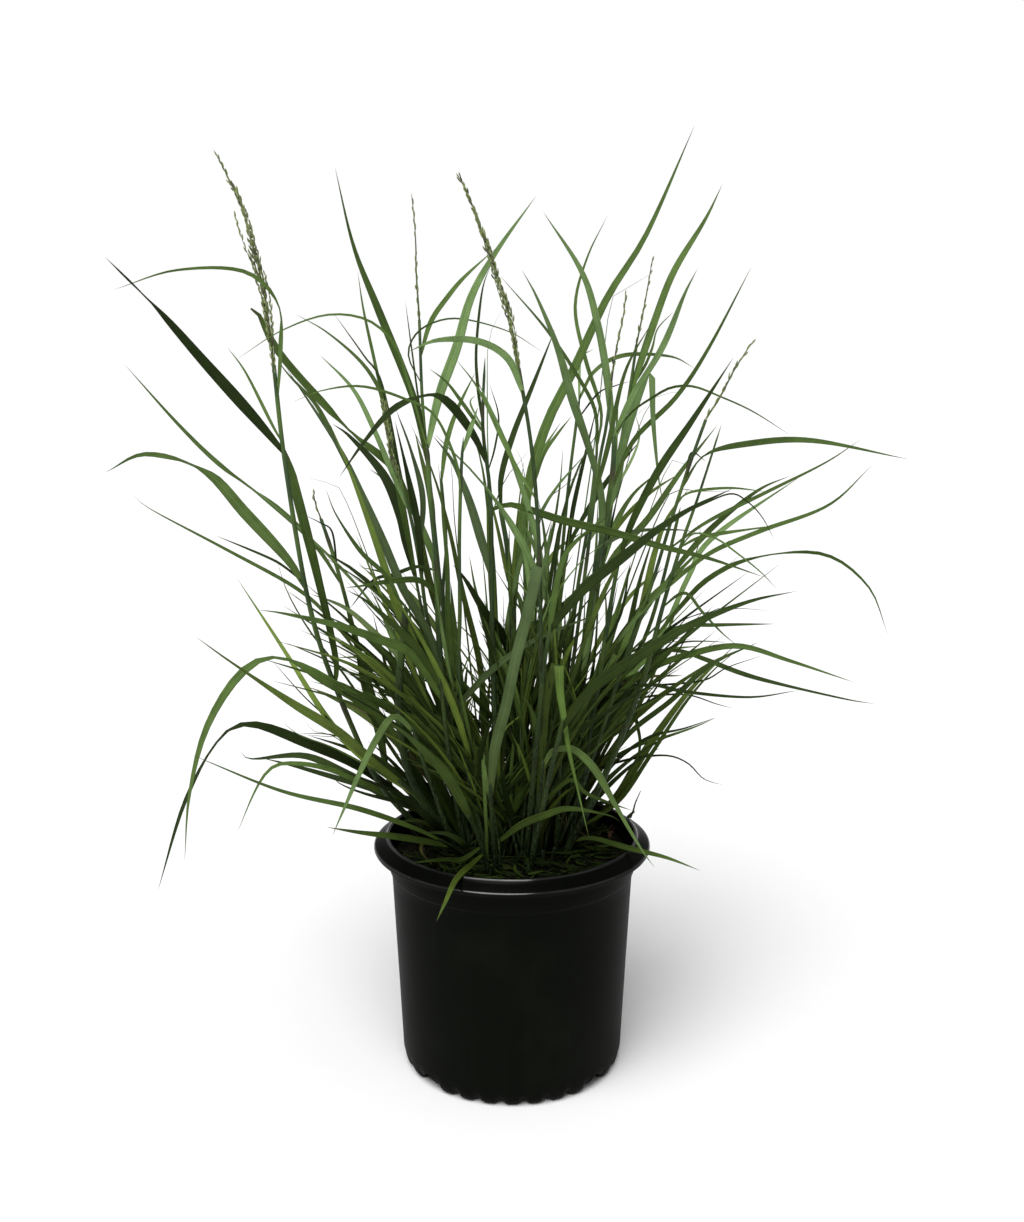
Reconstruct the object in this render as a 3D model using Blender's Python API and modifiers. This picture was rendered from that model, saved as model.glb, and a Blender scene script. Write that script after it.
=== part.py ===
"""Potted switchgrass: a moulded nursery pot, its soil, and a clump of leafy shoots with seed heads."""
import math
import random

import bmesh
import bpy
from mathutils import Matrix, Vector
from mathutils.bvhtree import BVHTree

MM = 0.001
GAP = 0.0003

# Pot: a thin moulded wall with a sloping lip and a scalloped foot
LIP_RADIUS = 0.120
LIP_EDGE_HEIGHT = 0.1985
POT_HEIGHT = 0.207
MOUTH_RADIUS = 0.1075
BAND_RADIUS = 0.1066
BAND_BOTTOM = 0.177
WALL_TOP_RADIUS = 0.1050
WALL_FOOT_RADIUS = 0.0972
WALL_THICKNESS = 0.0013
FOOT_RADIUS = 0.0900
FLOOR_RADIUS = 0.0860
CORNER_HEIGHT = 0.014
FLOOR_TOP = 0.0020
TURN_STEPS = 60
SCALLOP_DEPTH = 0.0022
DRAIN_WIDTH = 0.019
DRAIN_HEIGHT = 0.012
DRAIN_ANGLES = (-48, 48, 132, 228)
DRAIN_CUT_RADIUS = 0.1010
DRAIN_CUT_DEPTH = 0.030
DRAIN_ROUNDING = 0.4
EDGE_ROUND = 0.0010
MOUTH_ROUND = 0.0015
LIP_EDGE_DEPTH = 0.0030
INNER_STEP = 0.0006
KNUCKLE_RADIUS = 0.0960
KNUCKLE_HEIGHT = 0.0068
HEEL_RADIUS = 0.0938
HEEL_HEIGHT = 0.0022

# Soil
SOIL_HEIGHT = 0.190
SOIL_EDGE_HEIGHT = 0.187
SOIL_FLAT_RADIUS = 0.096
SOIL_BITE = 0.0003

# Where the heights and sideways places of the shoots were sighted from: a point in front of the pot
SIGHT_POINT = Vector((0.0, -1.080, 0.612))

BLADE_THICKNESS = 0.0008
TIP_RISE = 0.0002
COLLAR_WIDTH = 0.35
WIDEST_SHARE = 0.3
TAPER_POWER = 0.8
TWIST_LIMIT = 28
REACH_POWER = 1.2
LEAN_POWER = 1.3
STEM_TOP_WIDTH = 0.6
COLLAR_STEPS = 80
CURVE_STEPS = 8
WELD = 0.00001
SHORT_BLADE = 110
LONG_BLADE = 210
STEM_STATIONS = 6
REACH_SPREAD = 1.5
LEAN_SPREAD = 1.35
HEAD_STATIONS = 6
HEAD_BASE_GAP = 0.0012
HEAD_SWAYS = (0, 12, -12, 24, -24, 36, -36, 50, -50, 70, -70)
CLEARANCE = 0.0007
SLIDE_STEP = 0.002
SLIDE_LIMIT = 24

# Each shoot: name, stem width, depth of its foot, depth of its top, stem points (across, up), then
# its blades: width, collar height on the stem, reach in depth from collar to tip, points (across, up).
# All are millimetres on the upright plane through the pot's axis.
SHOOTS = [
    ("shoot_left_head", 4, 0, -50,
     [(-52, 189), (-85, 215), (-115, 250), (-141, 310), (-162, 370), (-175, 430), (-188, 531), (-194, 606)],
     [(3.5, 580, -60, [(-188, 620), (-189, 655), (-215, 680), (-270, 681), (-320, 666)]),
      (8, 535, -90, [(-210, 562), (-250, 608), (-286, 650), (-326, 691)]),
      (3, 545, 40, [(-198, 560), (-217, 600), (-231, 620)]),
      (6, 340, 20, [(-150, 362), (-165, 440), (-183, 519), (-188, 538)]),
      (9.5, 420, 60, [(-188, 446), (-222, 485), (-254, 520), (-302, 534), (-336, 519)])]),
    ("shoot_thin_head", 4.5, 20, 70,
     [(-50, 193), (-78, 208), (-99, 230), (-108, 260), (-114, 310), (-130, 370), (-147, 440), (-159, 480)],
     [(4, 360, 70, [(-154, 396), (-182, 422), (-240, 455), (-300, 488), (-314, 500)]),
      (4.5, 425, 90, [(-165, 459), (-196, 490), (-240, 524), (-273, 557), (-315, 606)])]),
    ("shoot_left_thick", 6, -12, -40,
     [(-42, 187), (-60, 205), (-85, 250), (-95, 290), (-96, 340), (-91, 390), (-90, 408)],
     [(5, 345, 50, [(-98, 364), (-117, 384), (-141, 405), (-170, 417)]),
      (4, 398, -40, [(-104, 430), (-126, 452), (-146, 483), (-154, 504)]),
      (7, 270, -110, [(-112, 309), (-159, 342), (-198, 362), (-230, 349), (-262, 301),
                      (-280, 240), (-287, 180)])]),
    ("shoot_left_grey", 6, -15, -10,
     [(-33, 183), (-45, 230), (-55, 290), (-62, 380), (-63, 440), (-68, 500), (-70, 545)],
     [(8, 538, -40, [(-60, 580), (-45, 620), (-33, 660), (-13, 695), (19, 738)]),
      (7, 525, 30, [(-78, 570), (-88, 600), (-108, 650), (-127, 700), (-140, 759)]),
      (3, 436, 60, [(-80, 440), (-100, 433), (-117, 428), (-137, 404)]),
      (5, 415, -60, [(-77, 428), (-99, 428), (-124, 424), (-140, 422)])]),
    ("shoot_left_short", 4.5, -22, -45,
     [(-40, 183), (-48, 230), (-56, 290), (-60, 330), (-62, 345)],
     [(5, 335, -50, [(-78, 366), (-96, 386), (-122, 410), (-139, 420)]),
      (6, 325, -90, [(-86, 365), (-114, 378), (-149, 390), (-193, 400), (-214, 403)])]),
    ("shoot_left_tall_stalk", 3.5, 25, 45,
     [(-28, 197), (-50, 300), (-58, 400), (-66, 490), (-73, 570), (-75, 642)],
     [(4, 612, 50, [(-66, 640), (-52, 660), (-38, 676), (-13, 698)]),
      (5, 300, 60, [(-72, 345), (-96, 388), (-118, 420)])]),
    ("shoot_left_bright", 5, 8, -20,
     [(-30, 192), (-44, 260), (-57, 318), (-64, 342)],
     [(7, 330, -30, [(-76, 360), (-95, 400), (-107, 440), (-120, 480), (-134, 520), (-150, 560)]),
      (5, 310, 50, [(-66, 372), (-91, 420), (-107, 460), (-124, 500), (-143, 540), (-184, 604)])]),
    ("shoot_left_dark", 4, 32, 60,
     [(-36, 200), (-58, 300), (-72, 380), (-80, 425), (-83, 440)],
     [(9, 432, 60, [(-88, 460), (-93, 485), (-107, 518), (-133, 548), (-148, 559)]),
      (5, 428, -30, [(-92, 495), (-99, 523), (-129, 549), (-157, 578), (-190, 617), (-212, 657)])]),
    ("shoot_dark_head", 4, 5, 20,
     [(-24, 191), (-48, 300), (-66, 370), (-73, 405), (-77, 440), (-84, 480), (-92, 513)],
     [(4, 500, 40, [(-98, 530), (-104, 570), (-112, 610), (-120, 650), (-124, 680)]),
      (5, 488, 70, [(-98, 516), (-113, 553), (-130, 587), (-156, 614)]),
      (6.5, 430, -30, [(-78, 470), (-85, 510), (-96, 561)])]),
    ("shoot_mid_left", 4, 40, 75,
     [(-18, 204), (-40, 300), (-55, 370), (-58, 420), (-55, 460), (-59, 520)],
     [(4, 512, 40, [(-54, 543), (-45, 570), (-30, 600)]),
      (6, 380, -40, [(-70, 430), (-80, 480), (-97, 530)])]),
    ("shoot_arched", 4, -30, -50,
     [(-20, 178), (-38, 260), (-45, 350), (-44, 400), (-44, 460), (-42, 520), (-40, 548)],
     [(3, 500, -80, [(-46, 527), (-63, 565), (-88, 579), (-122, 589), (-154, 586), (-178, 577)]),
      (4.5, 535, 30, [(-34, 555), (-28, 572)])]),
    ("shoot_centre", 6, -28, -20,
     [(-7, 179), (-13, 260), (-16, 350), (-17, 420), (-18, 500), (-24, 555), (-22, 612)],
     [(3, 560, 40, [(-28, 590), (-29, 620), (-24, 665), (-17, 685)]),
      (5.5, 430, 30, [(-25, 460), (-37, 500), (-49, 528), (-65, 549)]),
      (7.5, 528, -70, [(-32, 550), (-52, 576), (-70, 582), (-97, 571), (-121, 545), (-143, 515)]),
      (6.5, 488, -70, [(0, 492), (42, 479), (84, 469), (125, 457), (165, 447), (212, 431)])]),
    ("shoot_centre_back", 5, 12, 30,
     [(-4, 194), (-2, 300), (0, 400), (-4, 455), (-11, 495)],
     [(5, 485, 40, [(-9, 515), (1, 550), (17, 590), (35, 635)]),
      (5, 360, -50, [(-10, 385), (-22, 400), (-40, 430), (-50, 442)])]),
    ("shoot_centre_head", 4, -38, -60,
     [(17, 175), (21, 220), (24, 280), (24, 400), (22, 470), (16, 540), (6, 601)],
     [(7, 584, -60, [(-3, 611), (-27, 625), (-60, 626), (-84, 617)]),
      (3, 510, 40, [(27, 535), (37, 550), (49, 565)]),
      (3.5, 495, 40, [(7, 517), (-7, 544), (-27, 586), (-45, 610)])]),
    ("shoot_tallest", 6, -8, 10,
     [(3, 189), (1, 260), (1, 340), (2, 415)],
     [(9, 400, 70, [(5, 450), (14, 510), (29, 560), (50, 602), (77, 660), (108, 710), (144, 792)])]),
    ("shoot_cut_leaf", 4, -58, -85,
     [(-14, 166), (-17, 210), (-19, 250)],
     [(10, 240, -25, [(-15, 280), (-5, 320), (3, 360), (13, 400), (22, 440)])]),
    ("shoot_folded_leaf", 4, -20, -50,
     [(38, 182), (41, 250), (42, 310), (40, 356)],
     [(7.5, 348, -70, [(43, 320), (49, 280), (58, 240), (67, 201)])]),
    ("shoot_front_arch", 4, -48, -75,
     [(18, 171), (23, 220), (27, 272)],
     [(7, 264, -40, [(41, 287), (57, 284), (74, 262), (90, 230), (113, 190), (125, 173)]),
      (4, 230, -30, [(50, 253), (63, 242), (80, 234), (105, 225)])]),
    ("shoot_front_low", 3.5, -62, -80,
     [(-10, 164), (-12, 195), (-17, 225), (-20, 242)],
     [(4, 236, -15, [(-24, 262), (-24, 278)]),
      (6.5, 196, -25, [(8, 212), (29, 221), (50, 227), (84, 221), (94, 215)])]),
    ("shoot_front_left", 4.5, -30, -50,
     [(-19, 178), (-29, 200), (-38, 222)],
     [(9, 214, -40, [(-47, 240), (-59, 260), (-73, 276), (-89, 292), (-105, 305)]),
      (5, 186, -82, [(-35, 176), (-49, 162), (-59, 140), (-67, 122)]),
      (4, 192, -20, [(-44, 180), (-60, 180), (-88, 177)])]),
    ("shoot_right_thick", 5, 12, 20,
     [(32, 194), (50, 290), (60, 360), (68, 420), (76, 470), (83, 516), (84, 552)],
     [(9, 460, -60, [(74, 500), (63, 540), (49, 580), (37, 620), (20, 660), (8, 681)]),
      (7, 540, 30, [(82, 560), (77, 600), (69, 640), (56, 680), (25, 726)]),
      (7.5, 545, -50, [(98, 580), (122, 620), (139, 662), (149, 682)]),
      (4, 500, 60, [(100, 545), (134, 580), (160, 620), (192, 683)])]),
    ("shoot_right_folded", 4, 28, 60,
     [(28, 199), (45, 330), (55, 420), (64, 480), (71, 545)],
     [(3, 532, -30, [(69, 565), (58, 590), (29, 633), (-9, 676)]),
      (3, 541, 50, [(73, 570), (60, 610), (51, 652), (60, 690), (76, 723)]),
      (7, 455, -20, [(84, 500), (91, 540), (103, 580), (113, 602), (116, 560), (122, 510), (127, 490)])]),
    ("shoot_right_stalk", 3.5, 34, 80,
     [(35, 202), (60, 330), (75, 440), (86, 520), (96, 584), (101, 622)],
     [(7, 578, 40, [(102, 600), (115, 640), (130, 680), (154, 720), (167, 747)])]),
    ("shoot_right_slender", 3.5, -4, -30,
     [(25, 189), (48, 330), (62, 440), (71, 520), (78, 560), (81, 592)],
     [(4, 500, -40, [(79, 540), (92, 600), (113, 640)]),
      (5, 330, -50, [(66, 390), (88, 440), (110, 470)])]),
    ("shoot_right_inner", 4, 44, 90,
     [(15, 206), (30, 330), (40, 430), (47, 510), (56, 585)],
     [(3.5, 580, 40, [(67, 601), (91, 614), (129, 613), (148, 604)]),
      (4, 420, 50, [(46, 450), (51, 490), (62, 540), (70, 575)])]),
    ("shoot_right_wide", 5, -12, -35,
     [(48, 185), (68, 300), (82, 400), (91, 455)],
     [(8, 446, -40, [(101, 480), (122, 522), (147, 560), (180, 612)]),
      (6.5, 340, 40, [(96, 376), (114, 410), (125, 425)])]),
    ("shoot_right_rising", 4.5, 22, 30,
     [(38, 197), (50, 300), (62, 380), (71, 428)],
     [(6, 420, 60, [(87, 451), (113, 480), (140, 520), (169, 558)]),
      (4, 412, -30, [(73, 452), (99, 469), (139, 471), (156, 468)])]),
    ("shoot_dark_cross", 5, -32, -70,
     [(12, 177), (22, 300), (28, 360), (33, 392)],
     [(9.5, 384, -60, [(59, 420), (94, 449), (121, 471), (149, 489), (184, 506)]),
      (5.5, 380, 40, [(40, 437), (52, 460), (81, 483)])]),
    ("shoot_right_leaning", 5.5, 0, -50,
     [(45, 192), (75, 245), (97, 300), (114, 350), (127, 405), (142, 460), (155, 500), (172, 558)],
     [(5, 196, -45, [(70, 200), (101, 191), (135, 182), (165, 170)]),
      (7.5, 208, -60, [(92, 233), (118, 273), (147, 320), (170, 349), (191, 368)]),
      (6, 276, 60, [(105, 299), (136, 324), (168, 355), (209, 375)]),
      (5, 370, 70, [(134, 398), (149, 433), (168, 465), (238, 515)]),
      (5.5, 378, -90, [(139, 402), (164, 429), (201, 447), (259, 451), (299, 424), (318, 383)]),
      (4, 425, -100, [(165, 451), (207, 470), (262, 491), (297, 524)])]),
    ("shoot_right_low", 4.5, 15, 60,
     [(38, 195), (60, 250), (78, 300), (96, 348), (113, 380), (126, 425), (140, 490)],
     [(4.5, 340, -40, [(116, 351), (142, 362), (190, 372), (236, 359), (292, 340)]),
      (5, 418, 60, [(144, 447), (169, 475), (204, 504), (230, 516)]),
      (3, 455, 90, [(163, 478), (210, 502), (259, 527), (287, 546)]),
      (5.5, 280, -20, [(106, 310), (127, 328), (173, 361)]),
      (4, 366, 70, [(140, 368), (165, 360), (208, 344), (282, 326), (311, 321)])]),
    ("shoot_far_right_head", 3.5, -20, -70,
     [(36, 183), (55, 230), (78, 300), (99, 370), (116, 420), (133, 480), (145, 520), (159, 562)],
     [(5.5, 506, -90, [(159, 533), (198, 543), (248, 545), (326, 530)]),
      (3, 330, -80, [(118, 338), (147, 332), (202, 327), (245, 333)])]),
    ("shoot_right_bold", 5, -44, -75,
     [(14, 173), (32, 255), (44, 308)],
     [(9.5, 298, -70, [(70, 336), (111, 365), (151, 390), (199, 410), (239, 419)])]),
    ("shoot_right_yellow", 4, 36, 75,
     [(46, 203), (75, 290), (95, 345), (104, 382)],
     [(4.5, 374, 60, [(111, 410), (119, 450), (129, 480), (147, 506)]),
      (3.5, 366, 110, [(141, 388), (173, 390), (223, 391)])]),
    ("shoot_low_bright", 5, -16, -60,
     [(-36, 186), (-62, 215), (-85, 240), (-99, 253)],
     [(5.5, 247, -90, [(-121, 270), (-149, 296), (-190, 323), (-238, 357), (-267, 379)]),
      (4.5, 238, 30, [(-129, 273), (-159, 309), (-194, 369), (-231, 430)])]),
    ("shoot_low_droop", 5, 4, 25,
     [(-42, 191), (-65, 213), (-80, 226), (-93, 236)],
     [(9, 230, -130, [(-133, 266), (-176, 286), (-223, 303), (-252, 290), (-284, 234), (-312, 151)]),
      (5, 222, 70, [(-104, 236), (-144, 259), (-180, 275), (-225, 272), (-234, 279)])]),
    ("shoot_low_flat", 4, -28, -55,
     [(-36, 182), (-50, 190), (-64, 199)],
     [(4.5, 196, -70, [(-85, 209), (-134, 227), (-200, 243), (-275, 275)]),
      (4, 192, -35, [(-92, 200), (-132, 205), (-162, 210)])]),
    ("shoot_low_olive", 4.5, 20, 45,
     [(-44, 195), (-62, 225), (-74, 250)],
     [(4.5, 243, 80, [(-101, 288), (-132, 314), (-169, 334)]),
      (3.5, 232, 110, [(-107, 240), (-143, 252), (-189, 266), (-217, 273)])]),
    ("shoot_low_bent", 4, -34, -65,
     [(-46, 180), (-72, 255), (-86, 302)],
     [(6, 296, -50, [(-101, 310), (-117, 289), (-132, 259), (-146, 227), (-157, 202)])]),
    ("shoot_back_left", 4, 58, 150,
     [(-20, 211), (-36, 300), (-52, 380), (-60, 430)],
     [(6, 420, 60, [(-70, 460), (-90, 500), (-118, 522)]),
      (5, 340, 90, [(-66, 390), (-100, 430), (-128, 440)])]),
    ("shoot_back_centre", 4.5, 64, 130,
     [(6, 213), (10, 300), (12, 380), (10, 450)],
     [(6, 440, 60, [(12, 490), (22, 530), (40, 560)]),
      (6, 360, 100, [(20, 410), (34, 450), (60, 470)]),
      (5, 300, 70, [(-8, 360), (-28, 410), (-36, 450)])]),
    ("shoot_back_right", 4, 56, 160,
     [(30, 210), (48, 300), (62, 380), (70, 430)],
     [(6, 420, 70, [(84, 470), (100, 500), (122, 520)]),
      (5, 330, 100, [(76, 380), (104, 420), (130, 440)])]),
    ("shoot_back_low_left", 4, 50, 90,
     [(-34, 208), (-58, 260), (-70, 300)],
     [(5, 290, 120, [(-92, 340), (-120, 360), (-150, 362)]),
      (4, 270, 80, [(-74, 330), (-84, 380), (-88, 420)])]),
    ("shoot_back_low_right", 4, 52, 100,
     [(40, 209), (62, 262), (76, 304)],
     [(5, 292, 120, [(96, 340), (124, 366), (160, 372)]),
      (4, 270, 90, [(74, 330), (80, 380), (78, 430)])]),
]

# Seed heads: name, the shoot that bears it, width, and its points above the end of the stem
SEED_HEADS = [
    ("seed_head_left", "shoot_left_head", 8.5,
     [(-194, 612), (-197, 640), (-203, 680), (-215, 730), (-224, 750), (-236, 774)]),
    ("seed_head_thin", "shoot_thin_head", 3,
     [(-160, 484), (-163, 492), (-165, 505)]),
    ("seed_head_tall", "shoot_left_tall_stalk", 3.5,
     [(-75, 648), (-77, 680), (-77, 700), (-78, 720), (-80, 741)]),
    ("seed_head_dark", "shoot_dark_head", 5.5,
     [(-93, 518), (-99, 531), (-101, 546), (-103, 561), (-106, 578)]),
    ("seed_head_centre", "shoot_centre_head", 6.5,
     [(4, 608), (-1, 640), (-7, 660), (-20, 700), (-35, 739), (-43, 754)]),
    ("seed_head_right", "shoot_right_stalk", 3,
     [(102, 627), (106, 648), (110, 672), (113, 692)]),
    ("seed_head_slender", "shoot_right_slender", 2.6,
     [(82, 598), (85, 620), (90, 645), (92, 666)]),
    ("seed_head_far_right", "shoot_far_right_head", 4.5,
     [(162, 568), (170, 580), (180, 600), (189, 615), (197, 627)]),
]


def seen(across, up, depth):
    """The point at a depth that is sighted at (across, up) on the plane through the axis; millimetres."""
    on_plane = Vector((across * MM, 0.0, up * MM))
    ray = on_plane - SIGHT_POINT
    share = (depth * MM - SIGHT_POINT.y) / -SIGHT_POINT.y
    return SIGHT_POINT + ray * share


def smooth_path(points, count):
    """Points evenly spaced along a smooth curve through the given points."""
    dense = []
    ends = [points[0] * 2 - points[1]] + points + [points[-1] * 2 - points[-2]]
    for i in range(1, len(ends) - 2):
        for step in range(CURVE_STEPS):
            t = step / CURVE_STEPS
            a, b, c, d = ends[i - 1:i + 3]
            dense.append(0.5 * (2 * b + (c - a) * t + (2 * a - 5 * b + 4 * c - d) * t * t
                                + (3 * b - a - 3 * c + d) * t ** 3))
    dense.append(points[-1].copy())
    lengths = [0.0]
    for a, b in zip(dense, dense[1:]):
        lengths.append(lengths[-1] + (b - a).length)
    picked = []
    j = 0
    for i in range(count):
        goal = lengths[-1] * i / (count - 1)
        while j < len(lengths) - 2 and lengths[j + 1] < goal:
            j += 1
        span = lengths[j + 1] - lengths[j]
        share = (goal - lengths[j]) / span if span else 0.0
        picked.append(dense[j].lerp(dense[j + 1], min(1.0, share)))
    return picked


def stem_path(foot_depth, top_depth, points, slide):
    """A stem's points in space: its depth runs from foot to top with its height."""
    low, high = points[0][1], points[-1][1]
    path = []
    for across, up in points:
        rise = (up - low) / (high - low)
        lean = (top_depth - foot_depth) * LEAN_SPREAD
        path.append(seen(across, up, foot_depth + lean * rise ** LEAN_POWER + slide))
    path[0].z = SOIL_HEIGHT + GAP
    return smooth_path(path, STEM_STATIONS)


def collar_point(path, up):
    """Where on the stem a blade sighted at this height leaves it."""
    best = None
    for i in range(COLLAR_STEPS):
        share = i / COLLAR_STEPS * (len(path) - 1)
        part = int(share)
        spot = path[part].lerp(path[part + 1], share - part)
        ray = spot - SIGHT_POINT
        sighted = SIGHT_POINT.z + ray.z * -SIGHT_POINT.y / ray.y
        miss = abs(sighted - up * MM)
        if best is None or miss < best[0]:
            best = (miss, spot)
    return best[1]


def width_along(share, cut_end):
    """A blade's width, as a share of its greatest, from collar (0) to tip (1)."""
    if share < WIDEST_SHARE:
        return COLLAR_WIDTH + (1.0 - COLLAR_WIDTH) * math.sin(share / WIDEST_SHARE * math.pi / 2)
    if cut_end:
        return 1.0
    return math.cos((share - WIDEST_SHARE) / (1.0 - WIDEST_SHARE) * math.pi / 2) ** TAPER_POWER


def blade_mesh(start, width, reach, points, slide, roll, cut_end, extra=0.0):
    """A closed flat loft with a keel, from the stem out to a pointed tip."""
    start_depth = start.y / MM
    near = [start]
    spans = [0.0]
    last = (SIGHT_POINT + (start - SIGHT_POINT) * (-SIGHT_POINT.y / (start.y - SIGHT_POINT.y)))
    last = Vector((last.x, last.z)) / MM
    for across, up in points:
        spans.append(spans[-1] + (Vector((across, up)) - last).length)
        last = Vector((across, up))
    for (across, up), span in zip(points, spans[1:]):
        depth = start_depth + reach * REACH_SPREAD * (span / spans[-1]) ** REACH_POWER
        near.append(seen(across, up, depth))
    stations = 5 + (spans[-1] > SHORT_BLADE) + (spans[-1] > LONG_BLADE)
    path = smooth_path(near, stations)
    bm = bmesh.new()
    rings = []
    for i, spot in enumerate(path):
        share = i / (len(path) - 1)
        ahead = path[min(i + 1, len(path) - 1)]
        behind = path[max(i - 1, 0)]
        along = (ahead - behind).normalized()
        sight = (spot - SIGHT_POINT).normalized()
        side = along.cross(sight).normalized()
        side = Matrix.Rotation(roll * math.sin(share * math.pi * 0.8), 3, along) @ side
        back = side.cross(along).normalized()
        if back.dot(sight) < 0:
            back.negate()
        nearness = (spot.y - SIGHT_POINT.y) / -SIGHT_POINT.y
        half = width * MM / 2 * width_along(share, cut_end) * nearness + extra
        if i == len(path) - 1 and not cut_end:
            rings.append([bm.verts.new(spot + back * TIP_RISE)])
            continue
        thick = BLADE_THICKNESS + extra
        rings.append([bm.verts.new(spot - side * half), bm.verts.new(spot + side * half),
                      bm.verts.new(spot + back * thick)])
    for a, b in zip(rings, rings[1:]):
        for k in range(3):
            if len(b) == 3:
                bm.faces.new((a[k], a[(k + 1) % 3], b[(k + 1) % 3], b[k]))
            else:
                bm.faces.new((a[k], a[(k + 1) % 3], b[0]))
    bm.faces.new(tuple(reversed(rings[0])))
    if len(rings[-1]) == 3:
        bm.faces.new(tuple(rings[-1]))
    bmesh.ops.recalc_face_normals(bm, faces=bm.faces)
    bmesh.ops.triangulate(bm, faces=bm.faces)
    return bm


def tube_object(name, path, width, tapers, sides_step=0):
    """A tube along a path, as a curve with a bevel and filled caps, made a mesh."""
    curve = bpy.data.curves.new(name, "CURVE")
    curve.dimensions = "3D"
    curve.bevel_depth = width * MM / 2
    curve.bevel_resolution = sides_step
    curve.use_fill_caps = True
    spline = curve.splines.new("POLY")
    spline.points.add(len(path) - 1)
    for point, spot, taper in zip(spline.points, path, tapers):
        point.co = (*spot, 1.0)
        point.radius = taper
    guide = bpy.data.objects.new(name, curve)
    bpy.context.scene.collection.objects.link(guide)
    bpy.context.view_layer.update()
    mesh = bpy.data.meshes.new_from_object(guide.evaluated_get(bpy.context.evaluated_depsgraph_get()))
    bpy.data.objects.remove(guide)
    bpy.data.curves.remove(curve)
    bm = bmesh.new()
    bm.from_mesh(mesh)
    bmesh.ops.remove_doubles(bm, verts=bm.verts, dist=WELD)
    bmesh.ops.recalc_face_normals(bm, faces=bm.faces)
    bm.to_mesh(mesh)
    bm.free()
    return mesh


def stem_tapers(top_share):
    return [1.0 - (1.0 - top_share) * i / (STEM_STATIONS - 1) for i in range(STEM_STATIONS)]


def head_tapers(count):
    return [0.3 + 0.7 * math.sin(math.pi * 0.9 * i / (count - 1)) for i in range(count)]


def head_path(head, stem, sway):
    """A seed head's line: from just past the end of its stem, leaning in depth by its sway."""
    base = stem[-1] + (stem[-1] - stem[-2]).normalized() * HEAD_BASE_GAP
    points = [base]
    for number, (across, up) in enumerate(head[3][1:], 1):
        points.append(seen(across, up, base.y / MM + sway * number / (len(head[3]) - 1)))
    return smooth_path(points, HEAD_STATIONS)


def tree_of(meshes):
    """One search tree over several meshes' faces."""
    verts, faces = [], []
    for bm in meshes:
        offset = len(verts)
        bm.verts.index_update()
        verts.extend(v.co.copy() for v in bm.verts)
        faces.extend([v.index + offset for v in f.verts] for f in bm.faces)
    return BVHTree.FromPolygons(verts, faces)


def as_bmesh(mesh):
    bm = bmesh.new()
    bm.from_mesh(mesh)
    return bm


def material(name, colour, roughness, metallic=0.0):
    made = bpy.data.materials.new(name)
    made.use_nodes = True
    shader = made.node_tree.nodes["Principled BSDF"]
    shader.inputs["Base Color"].default_value = (*colour, 1.0)
    shader.inputs["Roughness"].default_value = roughness
    shader.inputs["Metallic"].default_value = metallic
    return made


def turned(name, profile, collection):
    """A turned body: the profile (radius, height) swept once round the upright axis."""
    mesh = bpy.data.meshes.new(name)
    mesh.from_pydata([(r, 0.0, z) for r, z in profile], [(i, i + 1) for i in range(len(profile) - 1)], [])
    made = bpy.data.objects.new(name, mesh)
    collection.objects.link(made)
    screw = made.modifiers.new("turn", "SCREW")
    screw.axis = "Z"
    screw.angle = math.tau
    screw.steps = TURN_STEPS
    screw.render_steps = TURN_STEPS
    screw.use_merge_vertices = True
    screw.merge_threshold = WELD
    screw.use_smooth_shade = True
    return made


def baked(made):
    """The object with its modifiers made part of its mesh."""
    bpy.context.view_layer.update()
    mesh = bpy.data.meshes.new_from_object(made.evaluated_get(bpy.context.evaluated_depsgraph_get()))
    made.modifiers.clear()
    made.data = mesh
    return made


for old in list(bpy.data.objects):
    bpy.data.objects.remove(old)

plant = bpy.data.collections.new("potted_switchgrass")
cutters = bpy.data.collections.new("cutters")
bpy.context.scene.collection.children.link(plant)
bpy.context.scene.collection.children.link(cutters)

# Pot: inner floor, inner wall, lip, outer wall and flat foot
inner_top = WALL_TOP_RADIUS - WALL_THICKNESS
inner_foot = WALL_FOOT_RADIUS - WALL_THICKNESS
pot_profile = [
    (0.0, FLOOR_TOP),
    (FLOOR_RADIUS, FLOOR_TOP),
    (inner_foot - INNER_STEP, CORNER_HEIGHT + LIP_EDGE_DEPTH),
    (inner_top, BAND_BOTTOM - 0.0020),
    (MOUTH_RADIUS - MOUTH_ROUND, POT_HEIGHT - MOUTH_ROUND),
    (MOUTH_RADIUS, POT_HEIGHT),
    (LIP_RADIUS - EDGE_ROUND, LIP_EDGE_HEIGHT + 0.0008),
    (LIP_RADIUS, LIP_EDGE_HEIGHT - EDGE_ROUND),
    (LIP_RADIUS - EDGE_ROUND, LIP_EDGE_HEIGHT - LIP_EDGE_DEPTH),
    (BAND_RADIUS + INNER_STEP, LIP_EDGE_HEIGHT - 0.0008),
    (BAND_RADIUS, BAND_BOTTOM + 0.0005),
    (WALL_TOP_RADIUS, BAND_BOTTOM - MOUTH_ROUND),
    (WALL_FOOT_RADIUS, CORNER_HEIGHT),
    (KNUCKLE_RADIUS, KNUCKLE_HEIGHT),
    (HEEL_RADIUS, HEEL_HEIGHT),
    (FOOT_RADIUS, 0.0),
    (0.0, 0.0)]
pot = baked(turned("nursery_pot", pot_profile, plant))
pot.data.materials.append(material("nursery_pot", (0.012, 0.013, 0.011), 0.42))

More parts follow.
